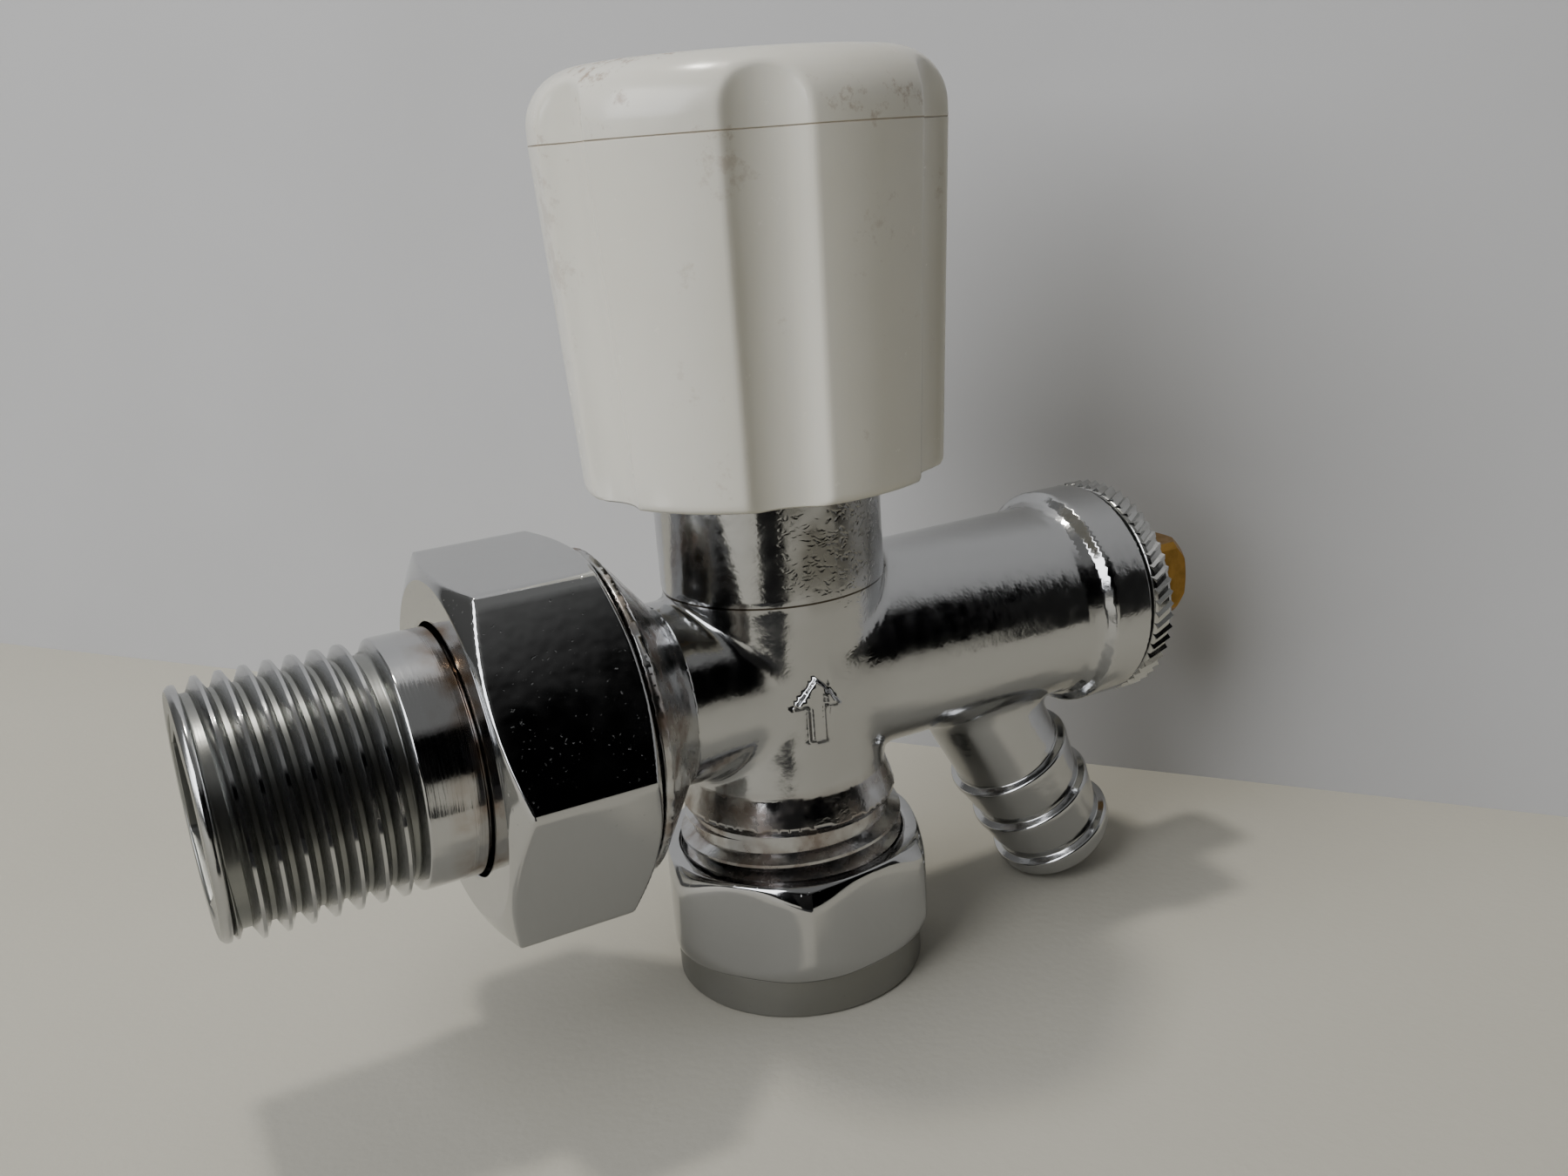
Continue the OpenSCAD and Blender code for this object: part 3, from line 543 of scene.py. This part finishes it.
# ---------------------------------------------------------------------------------------------------
# Wheelhead and its cap. Two mouldings in glossy cream plastic with six shallow flutes. The wheelhead
# is hollow underneath and grips the spindle's square, and the cap presses into its top.


def rounded(outline, radius, steps=3):
    """A closed outline of (along, radius) points with every corner turned into a small curve."""
    curve = []
    points = [np.array(p, float) for p in outline]
    for i, corner in enumerate(points):
        before, after = points[i - 1], points[(i + 1) % len(points)]
        reach = min(radius, 0.4 * np.linalg.norm(before - corner), 0.4 * np.linalg.norm(after - corner))
        first = corner + (before - corner) / np.linalg.norm(before - corner) * reach
        last = corner + (after - corner) / np.linalg.norm(after - corner) * reach
        for t in np.linspace(0, 1, steps + 1):
            curve.append((1 - t) ** 2 * first + 2 * t * (1 - t) * corner + t**2 * last)
    return curve


def turned_piece(name, rings, angles, place, material):
    """A closed piece from rings of (along, radius); a radius may differ at each angle. Rings that begin and end at
    radius 0 close at a point, and others join up into a tube."""
    count = len(angles)
    capped = np.isscalar(rings[0][1]) and rings[0][1] == 0
    body = rings[1:-1] if capped else rings
    vertices = np.concatenate([
        np.stack([np.cos(angles) * radius, np.sin(angles) * radius, np.full(count, float(along))], -1)
        for along, radius in body])
    faces = []
    for i in range(len(body) - (1 if capped else 0)):
        low, high = i * count, (i + 1) % len(body) * count
        faces += [(low + j, low + (j + 1) % count, high + (j + 1) % count, high + j) for j in range(count)]
    if capped:
        vertices = np.concatenate([vertices, [(0, 0, rings[0][0]), (0, 0, rings[-1][0])]])
        foot, top, last = len(vertices) - 2, len(vertices) - 1, (len(body) - 1) * count
        faces += [(foot, (j + 1) % count, j) for j in range(count)]
        faces += [(top, last + j, last + (j + 1) % count) for j in range(count)]
    piece = new_piece(name, vertices, faces, material)
    mesh = piece.data
    mesh.transform(Matrix.Scale(1 / MM, 4))
    mesh.transform(place @ Matrix.Scale(MM, 4))
    mesh.update()
    mesh.polygons.foreach_set("use_smooth", np.ones(len(mesh.polygons), bool))
    facing = np.array([p.normal for p in mesh.polygons])
    area = np.array([p.area for p in mesh.polygons])
    total = np.zeros((len(mesh.vertices), 3))
    for p in mesh.polygons:
        total[list(p.vertices)] += facing[p.index] * area[p.index]
    mesh.normals_split_custom_set_from_vertices(
        (total / np.maximum(np.linalg.norm(total, axis=1, keepdims=True), 1e-12)).tolist())
    return piece


FLUTE_RADIUS = 5.2
FLUTE_DEPTH = 1.5
WHEEL_FOOT_Z = 48.0
SEAM_Z = 76.7
FOOT_RADIUS = 15.75
TOP_RADIUS = 17.25
wheel_angles = np.linspace(0, 2 * math.pi, 360, endpoint=False)
aside = (wheel_angles - math.radians(250) + math.radians(30)) % math.radians(60) - math.radians(30)


def fluted(radius, centre_radius):
    """A round outline of this radius, cut by six flutes centred outside the other radius."""
    centre = centre_radius - FLUTE_DEPTH + FLUTE_RADIUS
    under = FLUTE_RADIUS**2 - (centre * np.sin(aside)) ** 2
    cut = np.where(under > 0, centre * np.cos(aside) - np.sqrt(np.maximum(under, 0)), radius + 9)
    return smooth_min(np.full_like(cut, radius), cut, 0.35)


def wheel_radius(z):
    """The wheelhead's radius at a height: it widens steadily from its foot to the seam."""
    return FOOT_RADIUS + (z - WHEEL_FOOT_Z) / (SEAM_Z - WHEEL_FOOT_Z) * (TOP_RADIUS - FOOT_RADIUS)


def square(across):
    """The radius of a square at each angle."""
    quarter = (wheel_angles + math.pi / 4) % (math.pi / 2) - math.pi / 4
    return across / 2 / np.cos(quarter)


# Urea moulding: creamy white and hard, glossy from the mould, going yellow, with grime chipped into it
# and brown scuffs along the edge that hands and other valves knock.
cream_plastic, tree, shader, place = new_material("cream_plastic")
axes = add(tree, "ShaderNodeSeparateXYZ", {0: place})
cloud = add(tree, "ShaderNodeTexNoise", {"Vector": place, "Scale": 1 / 14, "Detail": 3})
tone = add(tree, "ShaderNodeMixRGB", {
    "Fac": cloud.outputs["Fac"], "Color1": linear("#cbc8bb"), "Color2": linear("#d8d6cd")})
speck_cells = add(tree, "ShaderNodeTexVoronoi", {"Vector": place, "Scale": 1 / 9.0})
speck_dot = add(tree, "ShaderNodeMapRange", {
    "Value": speck_cells.outputs["Distance"], "From Min": 0.034, "From Max": 0.048, "To Min": 1.0, "To Max": 0.0})
scuff_noise = add(tree, "ShaderNodeTexNoise", {"Vector": place, "Scale": 1 / 1.5, "Detail": 6, "Roughness": 0.7})
scuff_patch = add(tree, "ShaderNodeTexNoise", {"Vector": place, "Scale": 1 / 7, "Detail": 1})
scuff_sum = add(tree, "ShaderNodeMath", {0: scuff_noise.outputs["Fac"], 1: scuff_patch.outputs["Fac"]},
                operation="ADD")
by_edge = add(tree, "ShaderNodeMapRange", {
    "Value": axes.outputs["Z"], "From Min": 74.0, "From Max": 80.5, "To Min": 0.35, "To Max": 1.0})
scuff_edge = add(tree, "ShaderNodeMapRange", {
    "Value": scuff_sum.outputs[0], "From Min": 1.18, "From Max": 1.30, "To Min": 0.0, "To Max": 0.7})
scuff = add(tree, "ShaderNodeMath", {0: scuff_edge.outputs[0], 1: by_edge.outputs[0]}, operation="MULTIPLY")
scuffed = add(tree, "ShaderNodeMixRGB", {
    "Fac": scuff.outputs[0], "Color1": tone.outputs[0], "Color2": linear("#8a705a")})
specked = add(tree, "ShaderNodeMixRGB", {
    "Fac": speck_dot.outputs[0], "Color1": scuffed.outputs[0], "Color2": linear("#4a4238")})
at_seam = add(tree, "ShaderNodeMath", {0: axes.outputs["Z"], 1: SEAM_Z, 2: 0.08}, operation="COMPARE")
seam_grime = add(tree, "ShaderNodeMath", {0: at_seam.outputs[0], 1: scuff_patch.outputs["Fac"]},
                 operation="MULTIPLY")
seamed = add(tree, "ShaderNodeMixRGB", {
    "Fac": seam_grime.outputs[0], "Color1": specked.outputs[0], "Color2": linear("#ab9c86")})
tree.links.new(seamed.outputs[0], shader.inputs["Base Color"])
gloss = add(tree, "ShaderNodeMapRange", {
    "Value": scuff_noise.outputs["Fac"], "From Min": 0.3, "From Max": 0.75, "To Min": 0.16, "To Max": 0.30})
tree.links.new(gloss.outputs[0], shader.inputs["Roughness"])
waves = add(tree, "ShaderNodeTexNoise", {"Vector": place, "Scale": 1 / 3.5, "Detail": 2})
dented = add(tree, "ShaderNodeMath", {0: speck_dot.outputs[0], 1: -1.2, 2: waves.outputs["Fac"]},
             operation="MULTIPLY_ADD")
soft = add(tree, "ShaderNodeBump", {"Height": dented.outputs[0], "Strength": 0.6, "Distance": 0.00006})
tree.links.new(soft.outputs[0], shader.inputs["Normal"])
shader.inputs["IOR"].default_value = 1.5
shader.inputs["Subsurface Weight"].default_value = 0.12
shader.inputs["Subsurface Radius"].default_value = (0.002, 0.0016, 0.0012)

wheel_side = [(48.0, 15.0), (48.15, 15.5), (48.5, 15.74), (48.9, 15.80), (50, 15.85)]
wheel_side += [(z, wheel_radius(z)) for z in np.linspace(52, 76.2, 22)]
wheel_side += [(76.6, 17.25), (SEAM_Z - 0.004, 17.23)]
rings = [(z, fluted(r, wheel_radius(z))) for z, r in wheel_side]
rings += [(SEAM_Z - 0.004, 9.2), (SEAM_Z - 0.25, 9.0), (74.5, 9.0), (74.5, 6.0), (73.7, 6.0), (73.6, 5.9)]
rings += [(73.6, square(5.04)), (73.5, square(5.04)), (66.0, square(5.04)), (65.8, square(5.24))]
rings += [(65.8, 12.2), (65.6, 12.6), (65.2, 12.8), (48.5, 12.8), (48.1, 12.95), (48.0, 13.3)]
wheelhead = turned_piece("wheelhead_moulding", rings, wheel_angles, UP, cream_plastic)
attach(wheelhead, "spindle")
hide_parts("wheelhead")

cap_low, cap_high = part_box("wheelhead_cap")
cap_top = cap_high.z / MM
shoulder = 4.6
shoulder_z = cap_top - 0.25 - shoulder
cap_side = [(SEAM_Z + 0.004, 17.23), (SEAM_Z + 0.1, 17.25), (SEAM_Z + 0.5, 17.25)]
cap_side += [(shoulder_z + shoulder * math.sin(a), TOP_RADIUS - shoulder * (1 - math.cos(a)))
             for a in np.linspace(0, math.pi / 2, 22) if shoulder_z + shoulder * math.sin(a) > SEAM_Z + 0.6]
rings = [(76.2, 0)] + [(76.2, 3.0), (76.2, 7.0), (76.2, 7.4), (76.0, 7.5), (74.7, 7.5), (74.6, 7.6), (74.6, 8.8)]
rings += [(74.8, 8.98), (SEAM_Z - 0.1, 8.98), (SEAM_Z + 0.004, 9.1)]
rings += [(z, fluted(r, TOP_RADIUS)) for z, r in cap_side]
rings += [(cap_top - 0.22, 11.0), (cap_top - 0.12, 8.0), (cap_top - 0.05, 5.0), (cap_top - 0.01, 2.0), (cap_top, 0)]
cap = turned_piece("wheelhead_cap_moulding", rings, wheel_angles, UP, cream_plastic)
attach(cap, "spindle")
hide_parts("wheelhead_cap")

# ---------------------------------------------------------------------------------------------------
# Hose tail. The drain leg's spout ends in three barbs turned on the same forging: each has a short
# steep face towards the body and a long taper towards the hose's end, so that a hose slides on only.

spout_turn = Vector(spout_way).to_track_quat("Z", "Y").to_matrix().to_4x4()
SPOUT = Matrix.Translation(Vector(spout_foot) * MM) @ spout_turn
side = [(15.4, 3.7), (15.4, 5.5), (15.6, 5.6), (17.1, 5.62), (17.3, 5.72)]
for crest in (17.6, 22.95, 28.3):
    side += [(crest - 0.12, 6.2), (crest, 6.34), (crest + 0.15, 6.4), (crest + 0.5, 6.38)]
    if crest < 28:
        side += [(crest + along, 6.4 - 0.75 * along / 4.9) for along in (1.2, 2.4, 3.6, 4.6)]
        side += [(crest + 4.9, 5.64), (crest + 5.05, 5.72)]
side += [(29.4, 6.3), (30.0, 6.1), (30.6, 5.7), (31.1, 5.1), (31.4, 4.6), (31.55, 4.1), (31.55, 3.8), (31.4, 3.62)]
barb_angles = np.linspace(0, 2 * math.pi, 96, endpoint=False)
barbs = turned_piece("hose_barbs", side + [(31.0, 3.6), (15.6, 3.6)], barb_angles, SPOUT, forged_chrome)
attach(barbs, "root")

# ---------------------------------------------------------------------------------------------------
# Union tail and union nut. Both are turned and milled from brass bar and chromed. The tail's thread
# has grime in its roots, and the nut's flats carry the marks of the spanner.

tail_chrome, tree, shader, place = new_material("turned_tail_chrome")
axes = add(tree, "ShaderNodeSeparateXYZ", {0: place})
stretched = add(tree, "ShaderNodeVectorMath", {0: place, 1: (6.0, 0.15, 0.15)}, operation="MULTIPLY")
rings_seen = add(tree, "ShaderNodeTexNoise", {"Vector": stretched.outputs[0], "Scale": 1.0, "Detail": 4})
off_axis = add(tree, "ShaderNodeVectorMath", {0: place, 1: (0, 0, RUN_Z)}, operation="SUBTRACT")
flat_off_axis = add(tree, "ShaderNodeVectorMath", {0: off_axis.outputs[0], 1: (0, 1, 1)},
                    operation="MULTIPLY")
out = add(tree, "ShaderNodeVectorMath", {0: flat_off_axis.outputs[0]}, operation="LENGTH")
in_root = add(tree, "ShaderNodeMapRange", {
    "Value": out.outputs["Value"], "From Min": 9.4, "From Max": 10.2, "To Min": 0.8, "To Max": 0.0})
on_thread = add(tree, "ShaderNodeMapRange", {
    "Value": axes.outputs["X"], "From Min": -36.0, "From Max": -35.6, "To Min": 1.0, "To Max": 0.0})
root_grime = add(tree, "ShaderNodeMath", {0: in_root.outputs[0], 1: on_thread.outputs[0]},
                 operation="MULTIPLY")
by_nut = add(tree, "ShaderNodeMapRange", {
    "Value": axes.outputs["X"], "From Min": -34.4, "From Max": -31.4, "To Min": 0.0, "To Max": 0.9})
patches = add(tree, "ShaderNodeTexNoise", {"Vector": place, "Scale": 1 / 2.2, "Detail": 5})
patch_edge = add(tree, "ShaderNodeMapRange", {
    "Value": patches.outputs["Fac"], "From Min": 0.38, "From Max": 0.66, "To Min": 0.15, "To Max": 1.0})
brown = add(tree, "ShaderNodeMath", {0: by_nut.outputs[0], 1: patch_edge.outputs[0]}, operation="MULTIPLY")
grey = add(tree, "ShaderNodeMixRGB", {
    "Fac": patches.outputs["Fac"], "Color1": linear("#6d716e"), "Color2": linear("#8c8c88")})
tone = add(tree, "ShaderNodeMixRGB", {
    "Fac": brown.outputs[0], "Color1": linear("#bdbebf"), "Color2": linear("#86694a")})
grimed = add(tree, "ShaderNodeMixRGB", {
    "Fac": root_grime.outputs[0], "Color1": tone.outputs[0], "Color2": grey.outputs[0]})
tree.links.new(grimed.outputs[0], shader.inputs["Base Color"])
dull = add(tree, "ShaderNodeMapRange", {
    "Value": rings_seen.outputs["Fac"], "From Min": 0.3, "From Max": 0.7, "To Min": 0.07, "To Max": 0.16})
dull = add(tree, "ShaderNodeMath", {0: root_grime.outputs[0], 1: 0.26, 2: dull.outputs[0]},
           operation="MULTIPLY_ADD")
tree.links.new(dull.outputs[0], shader.inputs["Roughness"])
cut = add(tree, "ShaderNodeBump", {"Height": rings_seen.outputs["Fac"], "Strength": 0.7, "Distance": 0.00001})
peel = add(tree, "ShaderNodeTexNoise", {"Vector": place, "Scale": 1 / 0.9, "Detail": 2})
cut = add(tree, "ShaderNodeBump", {
    "Height": peel.outputs["Fac"], "Strength": 0.7, "Distance": 0.000012, "Normal": cut.outputs[0]})
tree.links.new(cut.outputs[0], shader.inputs["Normal"])
shader.inputs["Metallic"].default_value = 1.0

tail_angles = np.linspace(0, 2 * math.pi, 144, endpoint=False)


def hexagon(across, angles, turn=0.0, corner=None, ease=0.25):
    """The radius of a hexagon at each angle, its corners eased towards the corner radius."""
    sixth = (angles - turn + math.pi / 6) % (math.pi / 3) - math.pi / 6
    flat = across / 2 / np.cos(math.pi / 6 - np.abs(sixth))
    return flat if corner is None else smooth_min(flat, np.full_like(flat, corner), ease)


key = hexagon(13, tail_angles)
outline = rounded([
    (23.0, 6.4), (23.0, 7.2), (25.0, 9.05), (25.0, 12.9), (28.0, 12.9), (28.0, 10.178), (31.2, 10.178),
    (31.2, 10.478), (35.79, 10.478),
    (36.3, 9.317), (50.3, 9.317), (50.45, 10.1), (50.9, 10.1), (51.3, 9.7), (51.3, 8.0)], 0.18)[4:]
rings = outline + [(51.25, key + 0.12), (51.1, key), (42.5, key), (42.35, key - 0.02), (42.3, 6.42), (42.2, 6.4),
          (23.2, 6.4), (23.0, 6.55), (23.0, 7.0)]
tail = turned_piece("union_tail_turning", rings, tail_angles, LEFT, tail_chrome)
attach(tail, "root")
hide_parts("union_tail")
tail_thread = mesh_from_tree("tail_thread", thread_tree, {
    "Root Radius": 9.25, "Start": 36.2, "Turns": 7.75, "Pitch": PITCH, "Depth": 1.225}, LEFT, tail_chrome)
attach(tail_thread, "root")

# Drawn hexagon bar, buffed and chromed: flat and bright, with scratches a tenth of a millimetre wide
# running every way, and dents along the edges.
nut_chrome, tree, shader, place = new_material("spanner_marked_chrome")
axes = add(tree, "ShaderNodeSeparateXYZ", {0: place})
scratch_sets = []
for turn, length in (((0.3, 0.9, 0.4), 0.07), ((1.2, 0.2, 2.1), 0.09)):
    turned_place = add(tree, "ShaderNodeVectorRotate", {"Vector": place, "Rotation": turn},
                       rotation_type="EULER_XYZ")
    drawn = add(tree, "ShaderNodeVectorMath", {0: turned_place.outputs[0], 1: (length, 2.2, 2.2)},
                operation="MULTIPLY")
    streak = add(tree, "ShaderNodeTexNoise", {"Vector": drawn.outputs[0], "Scale": 1.3, "Detail": 2})
    scratch_sets.append(add(tree, "ShaderNodeMapRange", {
        "Value": streak.outputs["Fac"], "From Min": 0.71, "From Max": 0.76}))
scratches = add(tree, "ShaderNodeMath", {0: scratch_sets[0].outputs[0], 1: scratch_sets[1].outputs[0]},
                operation="MAXIMUM")
nick_cells = add(tree, "ShaderNodeTexVoronoi", {"Vector": place, "Scale": 1 / 1.6})
nick_patch = add(tree, "ShaderNodeTexNoise", {"Vector": place, "Scale": 1 / 4.0, "Detail": 1})
nick_dot = add(tree, "ShaderNodeMapRange", {
    "Value": nick_cells.outputs["Distance"], "From Min": 0.04, "From Max": 0.10, "To Min": 1.0, "To Max": 0.0})
nick_where = add(tree, "ShaderNodeMapRange", {
    "Value": nick_patch.outputs["Fac"], "From Min": 0.68, "From Max": 0.72})
nicks = add(tree, "ShaderNodeMath", {0: nick_dot.outputs[0], 1: nick_where.outputs[0]}, operation="MULTIPLY")
marks = add(tree, "ShaderNodeMath", {0: scratches.outputs[0], 1: nicks.outputs[0]}, operation="MAXIMUM")
waves = add(tree, "ShaderNodeTexNoise", {"Vector": place, "Scale": 1 / 3.0, "Detail": 2})
bump = add(tree, "ShaderNodeBump", {"Height": waves.outputs["Fac"], "Strength": 0.6, "Distance": 0.00003})
bump = add(tree, "ShaderNodeBump", {
    "Height": marks.outputs[0], "Strength": 0.7, "Distance": 0.000012, "Normal": bump.outputs[0]}, invert=True)
tree.links.new(bump.outputs[0], shader.inputs["Normal"])
smudge = add(tree, "ShaderNodeMapRange", {
    "Value": waves.outputs["Fac"], "From Min": 0.35, "From Max": 0.7, "To Min": 0.05, "To Max": 0.12})
# Below the hexagon the compression nut's collar missed the buffing wheel and stays matt nickel grey.
collar = add(tree, "ShaderNodeMapRange", {
    "Value": axes.outputs["Z"], "From Min": 3.75, "From Max": 3.95, "To Min": 1.0, "To Max": 0.0})
is_low = add(tree, "ShaderNodeMapRange", {
    "Value": axes.outputs["X"], "From Min": -18.0, "From Max": -17.0})
unbuffed = add(tree, "ShaderNodeMath", {0: collar.outputs[0], 1: is_low.outputs[0]}, operation="MULTIPLY")
dull = add(tree, "ShaderNodeMath", {0: marks.outputs[0], 1: 0.14, 2: smudge.outputs[0]},
           operation="MULTIPLY_ADD")
dull = add(tree, "ShaderNodeMath", {0: unbuffed.outputs[0], 1: 0.36, 2: dull.outputs[0]},
           operation="MULTIPLY_ADD")
tree.links.new(dull.outputs[0], shader.inputs["Roughness"])
tone = add(tree, "ShaderNodeMixRGB", {
    "Fac": unbuffed.outputs[0], "Color1": linear("#bebfc0"), "Color2": linear("#969692")})
tree.links.new(tone.outputs[0], shader.inputs["Base Color"])
shader.inputs["Metallic"].default_value = 1.0


def crowded_angles(turn, per_side=26):
    """Angles round a hexagon, closer together at its corners."""
    even = np.linspace(-1, 1, per_side, endpoint=False)
    side = even * math.pi / 6 * (0.35 + 0.65 * np.abs(even) ** 0.7)
    return np.concatenate([turn + k * math.pi / 3 + side for k in range(6)])


nut_turn = math.radians(30)
angles = crowded_angles(nut_turn)
hex_radius = hexagon(30, angles, nut_turn, 17.2)
rings = []
for along in np.concatenate([[18.5, 18.52, 18.6], np.linspace(18.7, 20.4, 14), np.linspace(21.4, 28.4, 4),
                             np.linspace(29.0, 30.8, 14), [30.9, 30.97, 31.0]]):
    cone = np.interp(along, [18.5, 19.9, 29.6, 31.0], [14.9, 17.4, 17.4, 14.4])
    edge = 0.14 * (np.exp(-(along - 18.5) / 0.08) + np.exp(-(31.0 - along) / 0.08))
    rings.append((along, smooth_min(hex_radius, np.full_like(hex_radius, cone), 0.22) - edge))
rings += [(31.0, 11.2), (30.95, 10.9), (30.8, 10.75), (28.2, 10.75), (28.1, 10.8), (28.1, 13.1), (28.0, 13.21),
          (18.8, 13.21), (18.55, 13.3), (18.5, 13.5)]
union_nut = turned_piece("union_nut_hexagon", rings, angles, LEFT, nut_chrome)
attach(union_nut, "union_nut")
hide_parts("union_nut")

# ---------------------------------------------------------------------------------------------------
# Compression nut. Chromed brass with a 24 mm hexagon chamfered top and bottom, so that each flat ends
# in an arch, over a plain round collar. The olive inside keeps its own shape.

nut_turn = math.radians(8.5)
angles = crowded_angles(nut_turn)
hex_radius = hexagon(24, angles, nut_turn, 13.15, 1.1)
rings = [(0.0, 9.2), (0.0, 11.3), (0.08, 11.55), (0.3, 11.7), (3.8, 11.72), (3.88, 11.76)]
for along in np.concatenate([[3.9, 3.95], np.linspace(4.1, 6.6, 16), np.linspace(7.4, 10.2, 4),
                             np.linspace(10.8, 13.1, 18), [13.25, 13.35, 13.4]]):
    cone = np.interp(along, [3.9, 6.3, 11.0, 13.4], [12.25, 13.9, 13.9, 12.1])
    edge = 0.16 * (np.exp(-(along - 3.9) / 0.08) + np.exp(-(13.4 - along) / 0.08))
    rings.append((along, smooth_min(hex_radius, np.full_like(hex_radius, cone), 0.8) - edge))
rings += [(13.4, 10.9), (13.3, 10.6), (13.1, 10.53), (4.7, 10.53), (4.6, 10.4), (4.6, 9.4), (4.5, 9.25),
          (2.7, 7.65), (2.5, 7.6), (0.3, 7.6), (0.1, 7.7), (0.0, 7.9)]
compression_nut = turned_piece("compression_nut_hexagon", rings, angles, UP, nut_chrome)
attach(compression_nut, "compression_nut")
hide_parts("compression_nut")

# ---------------------------------------------------------------------------------------------------
# Drain cap. A chromed brass plug that screws into the drain leg, with a knurled rim to turn it by. The
# rim's ridges lean, because the knurling wheel rolled in at a slant.

knurled_chrome, tree, shader, place = new_material("knurled_chrome")
worn = add(tree, "ShaderNodeTexNoise", {"Vector": place, "Scale": 1 / 0.8, "Detail": 4})
tone = add(tree, "ShaderNodeMixRGB", {
    "Fac": worn.outputs["Fac"], "Color1": linear("#b0b0ad"), "Color2": linear("#c6c7c7")})
tree.links.new(tone.outputs[0], shader.inputs["Base Color"])
dull = add(tree, "ShaderNodeMapRange", {
    "Value": worn.outputs["Fac"], "From Min": 0.3, "From Max": 0.7, "To Min": 0.12, "To Max": 0.24})
tree.links.new(dull.outputs[0], shader.inputs["Roughness"])
cut = add(tree, "ShaderNodeBump", {"Height": worn.outputs["Fac"], "Strength": 0.6, "Distance": 0.00002})
tree.links.new(cut.outputs[0], shader.inputs["Normal"])
shader.inputs["Metallic"].default_value = 1.0

cap_outline = rounded([
    (26.5, 4.95), (26.5, 7.45), (35.9, 7.45), (35.9, 10.4), (36.2, 10.6), (37.8, 10.6), (38.3, 10.2),
    (38.3, 4.95)], 0.18)
drain_cap = turned_piece("drain_cap_turning", cap_outline,
                         np.linspace(0, 2 * math.pi, 120, endpoint=False), RIGHT, knurled_chrome)
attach(drain_cap, "drain_cap")
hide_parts("drain_cap")

knurl_tree = bpy.data.node_groups.new("leaning_knurl", "GeometryNodeTree")
for label, kind in (("Ridges", "Int"), ("Radius", "Float"), ("Middle", "Float"), ("Length", "Float"),
                    ("Width", "Float"), ("Lean", "Float"), ("Material", "Material")):
    knurl_tree.interface.new_socket(label, in_out="INPUT", socket_type=f"NodeSocket{kind}")
knurl_tree.interface.new_socket("Knurl", in_out="OUTPUT", socket_type="NodeSocketGeometry")
given = add(knurl_tree, "NodeGroupInput").outputs
circle = add(knurl_tree, "GeometryNodeMeshCircle", {"Vertices": given["Ridges"], "Radius": given["Radius"]})
ridge = add(knurl_tree, "GeometryNodeMeshCylinder", {
    "Vertices": 4, "Radius": given["Width"], "Depth": given["Length"]})
leaning = add(knurl_tree, "GeometryNodeTransform", {"Geometry": ridge.outputs["Mesh"]})
knurl_tree.links.new(add(knurl_tree, "ShaderNodeCombineXYZ", {"X": given["Lean"]}).outputs[0],
                     leaning.inputs["Rotation"])
outwards = add(knurl_tree, "FunctionNodeAlignRotationToVector", {
    "Vector": add(knurl_tree, "GeometryNodeInputPosition").outputs[0]}, axis="X", pivot_axis="Z")
ridges = add(knurl_tree, "GeometryNodeInstanceOnPoints", {
    "Points": circle.outputs[0], "Instance": leaning.outputs[0], "Rotation": outwards.outputs[0]})
lifted = add(knurl_tree, "ShaderNodeCombineXYZ", {"Z": given["Middle"]})
raised = add(knurl_tree, "GeometryNodeTransform", {"Geometry": ridges.outputs[0], "Translation": lifted.outputs[0]})
joined = add(knurl_tree, "GeometryNodeRealizeInstances", {0: raised.outputs[0]})
painted = add(knurl_tree, "GeometryNodeSetMaterial", {
    "Geometry": joined.outputs[0], "Material": given["Material"]})
add(knurl_tree, "NodeGroupOutput", {0: painted.outputs[0]})
knurl = mesh_from_tree("drain_cap_knurl", knurl_tree, {
    "Ridges": 56, "Radius": 10.42, "Middle": 37.05, "Length": 2.05, "Width": 0.47, "Lean": 0.5},
    RIGHT, knurled_chrome)
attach(knurl, "drain_cap")
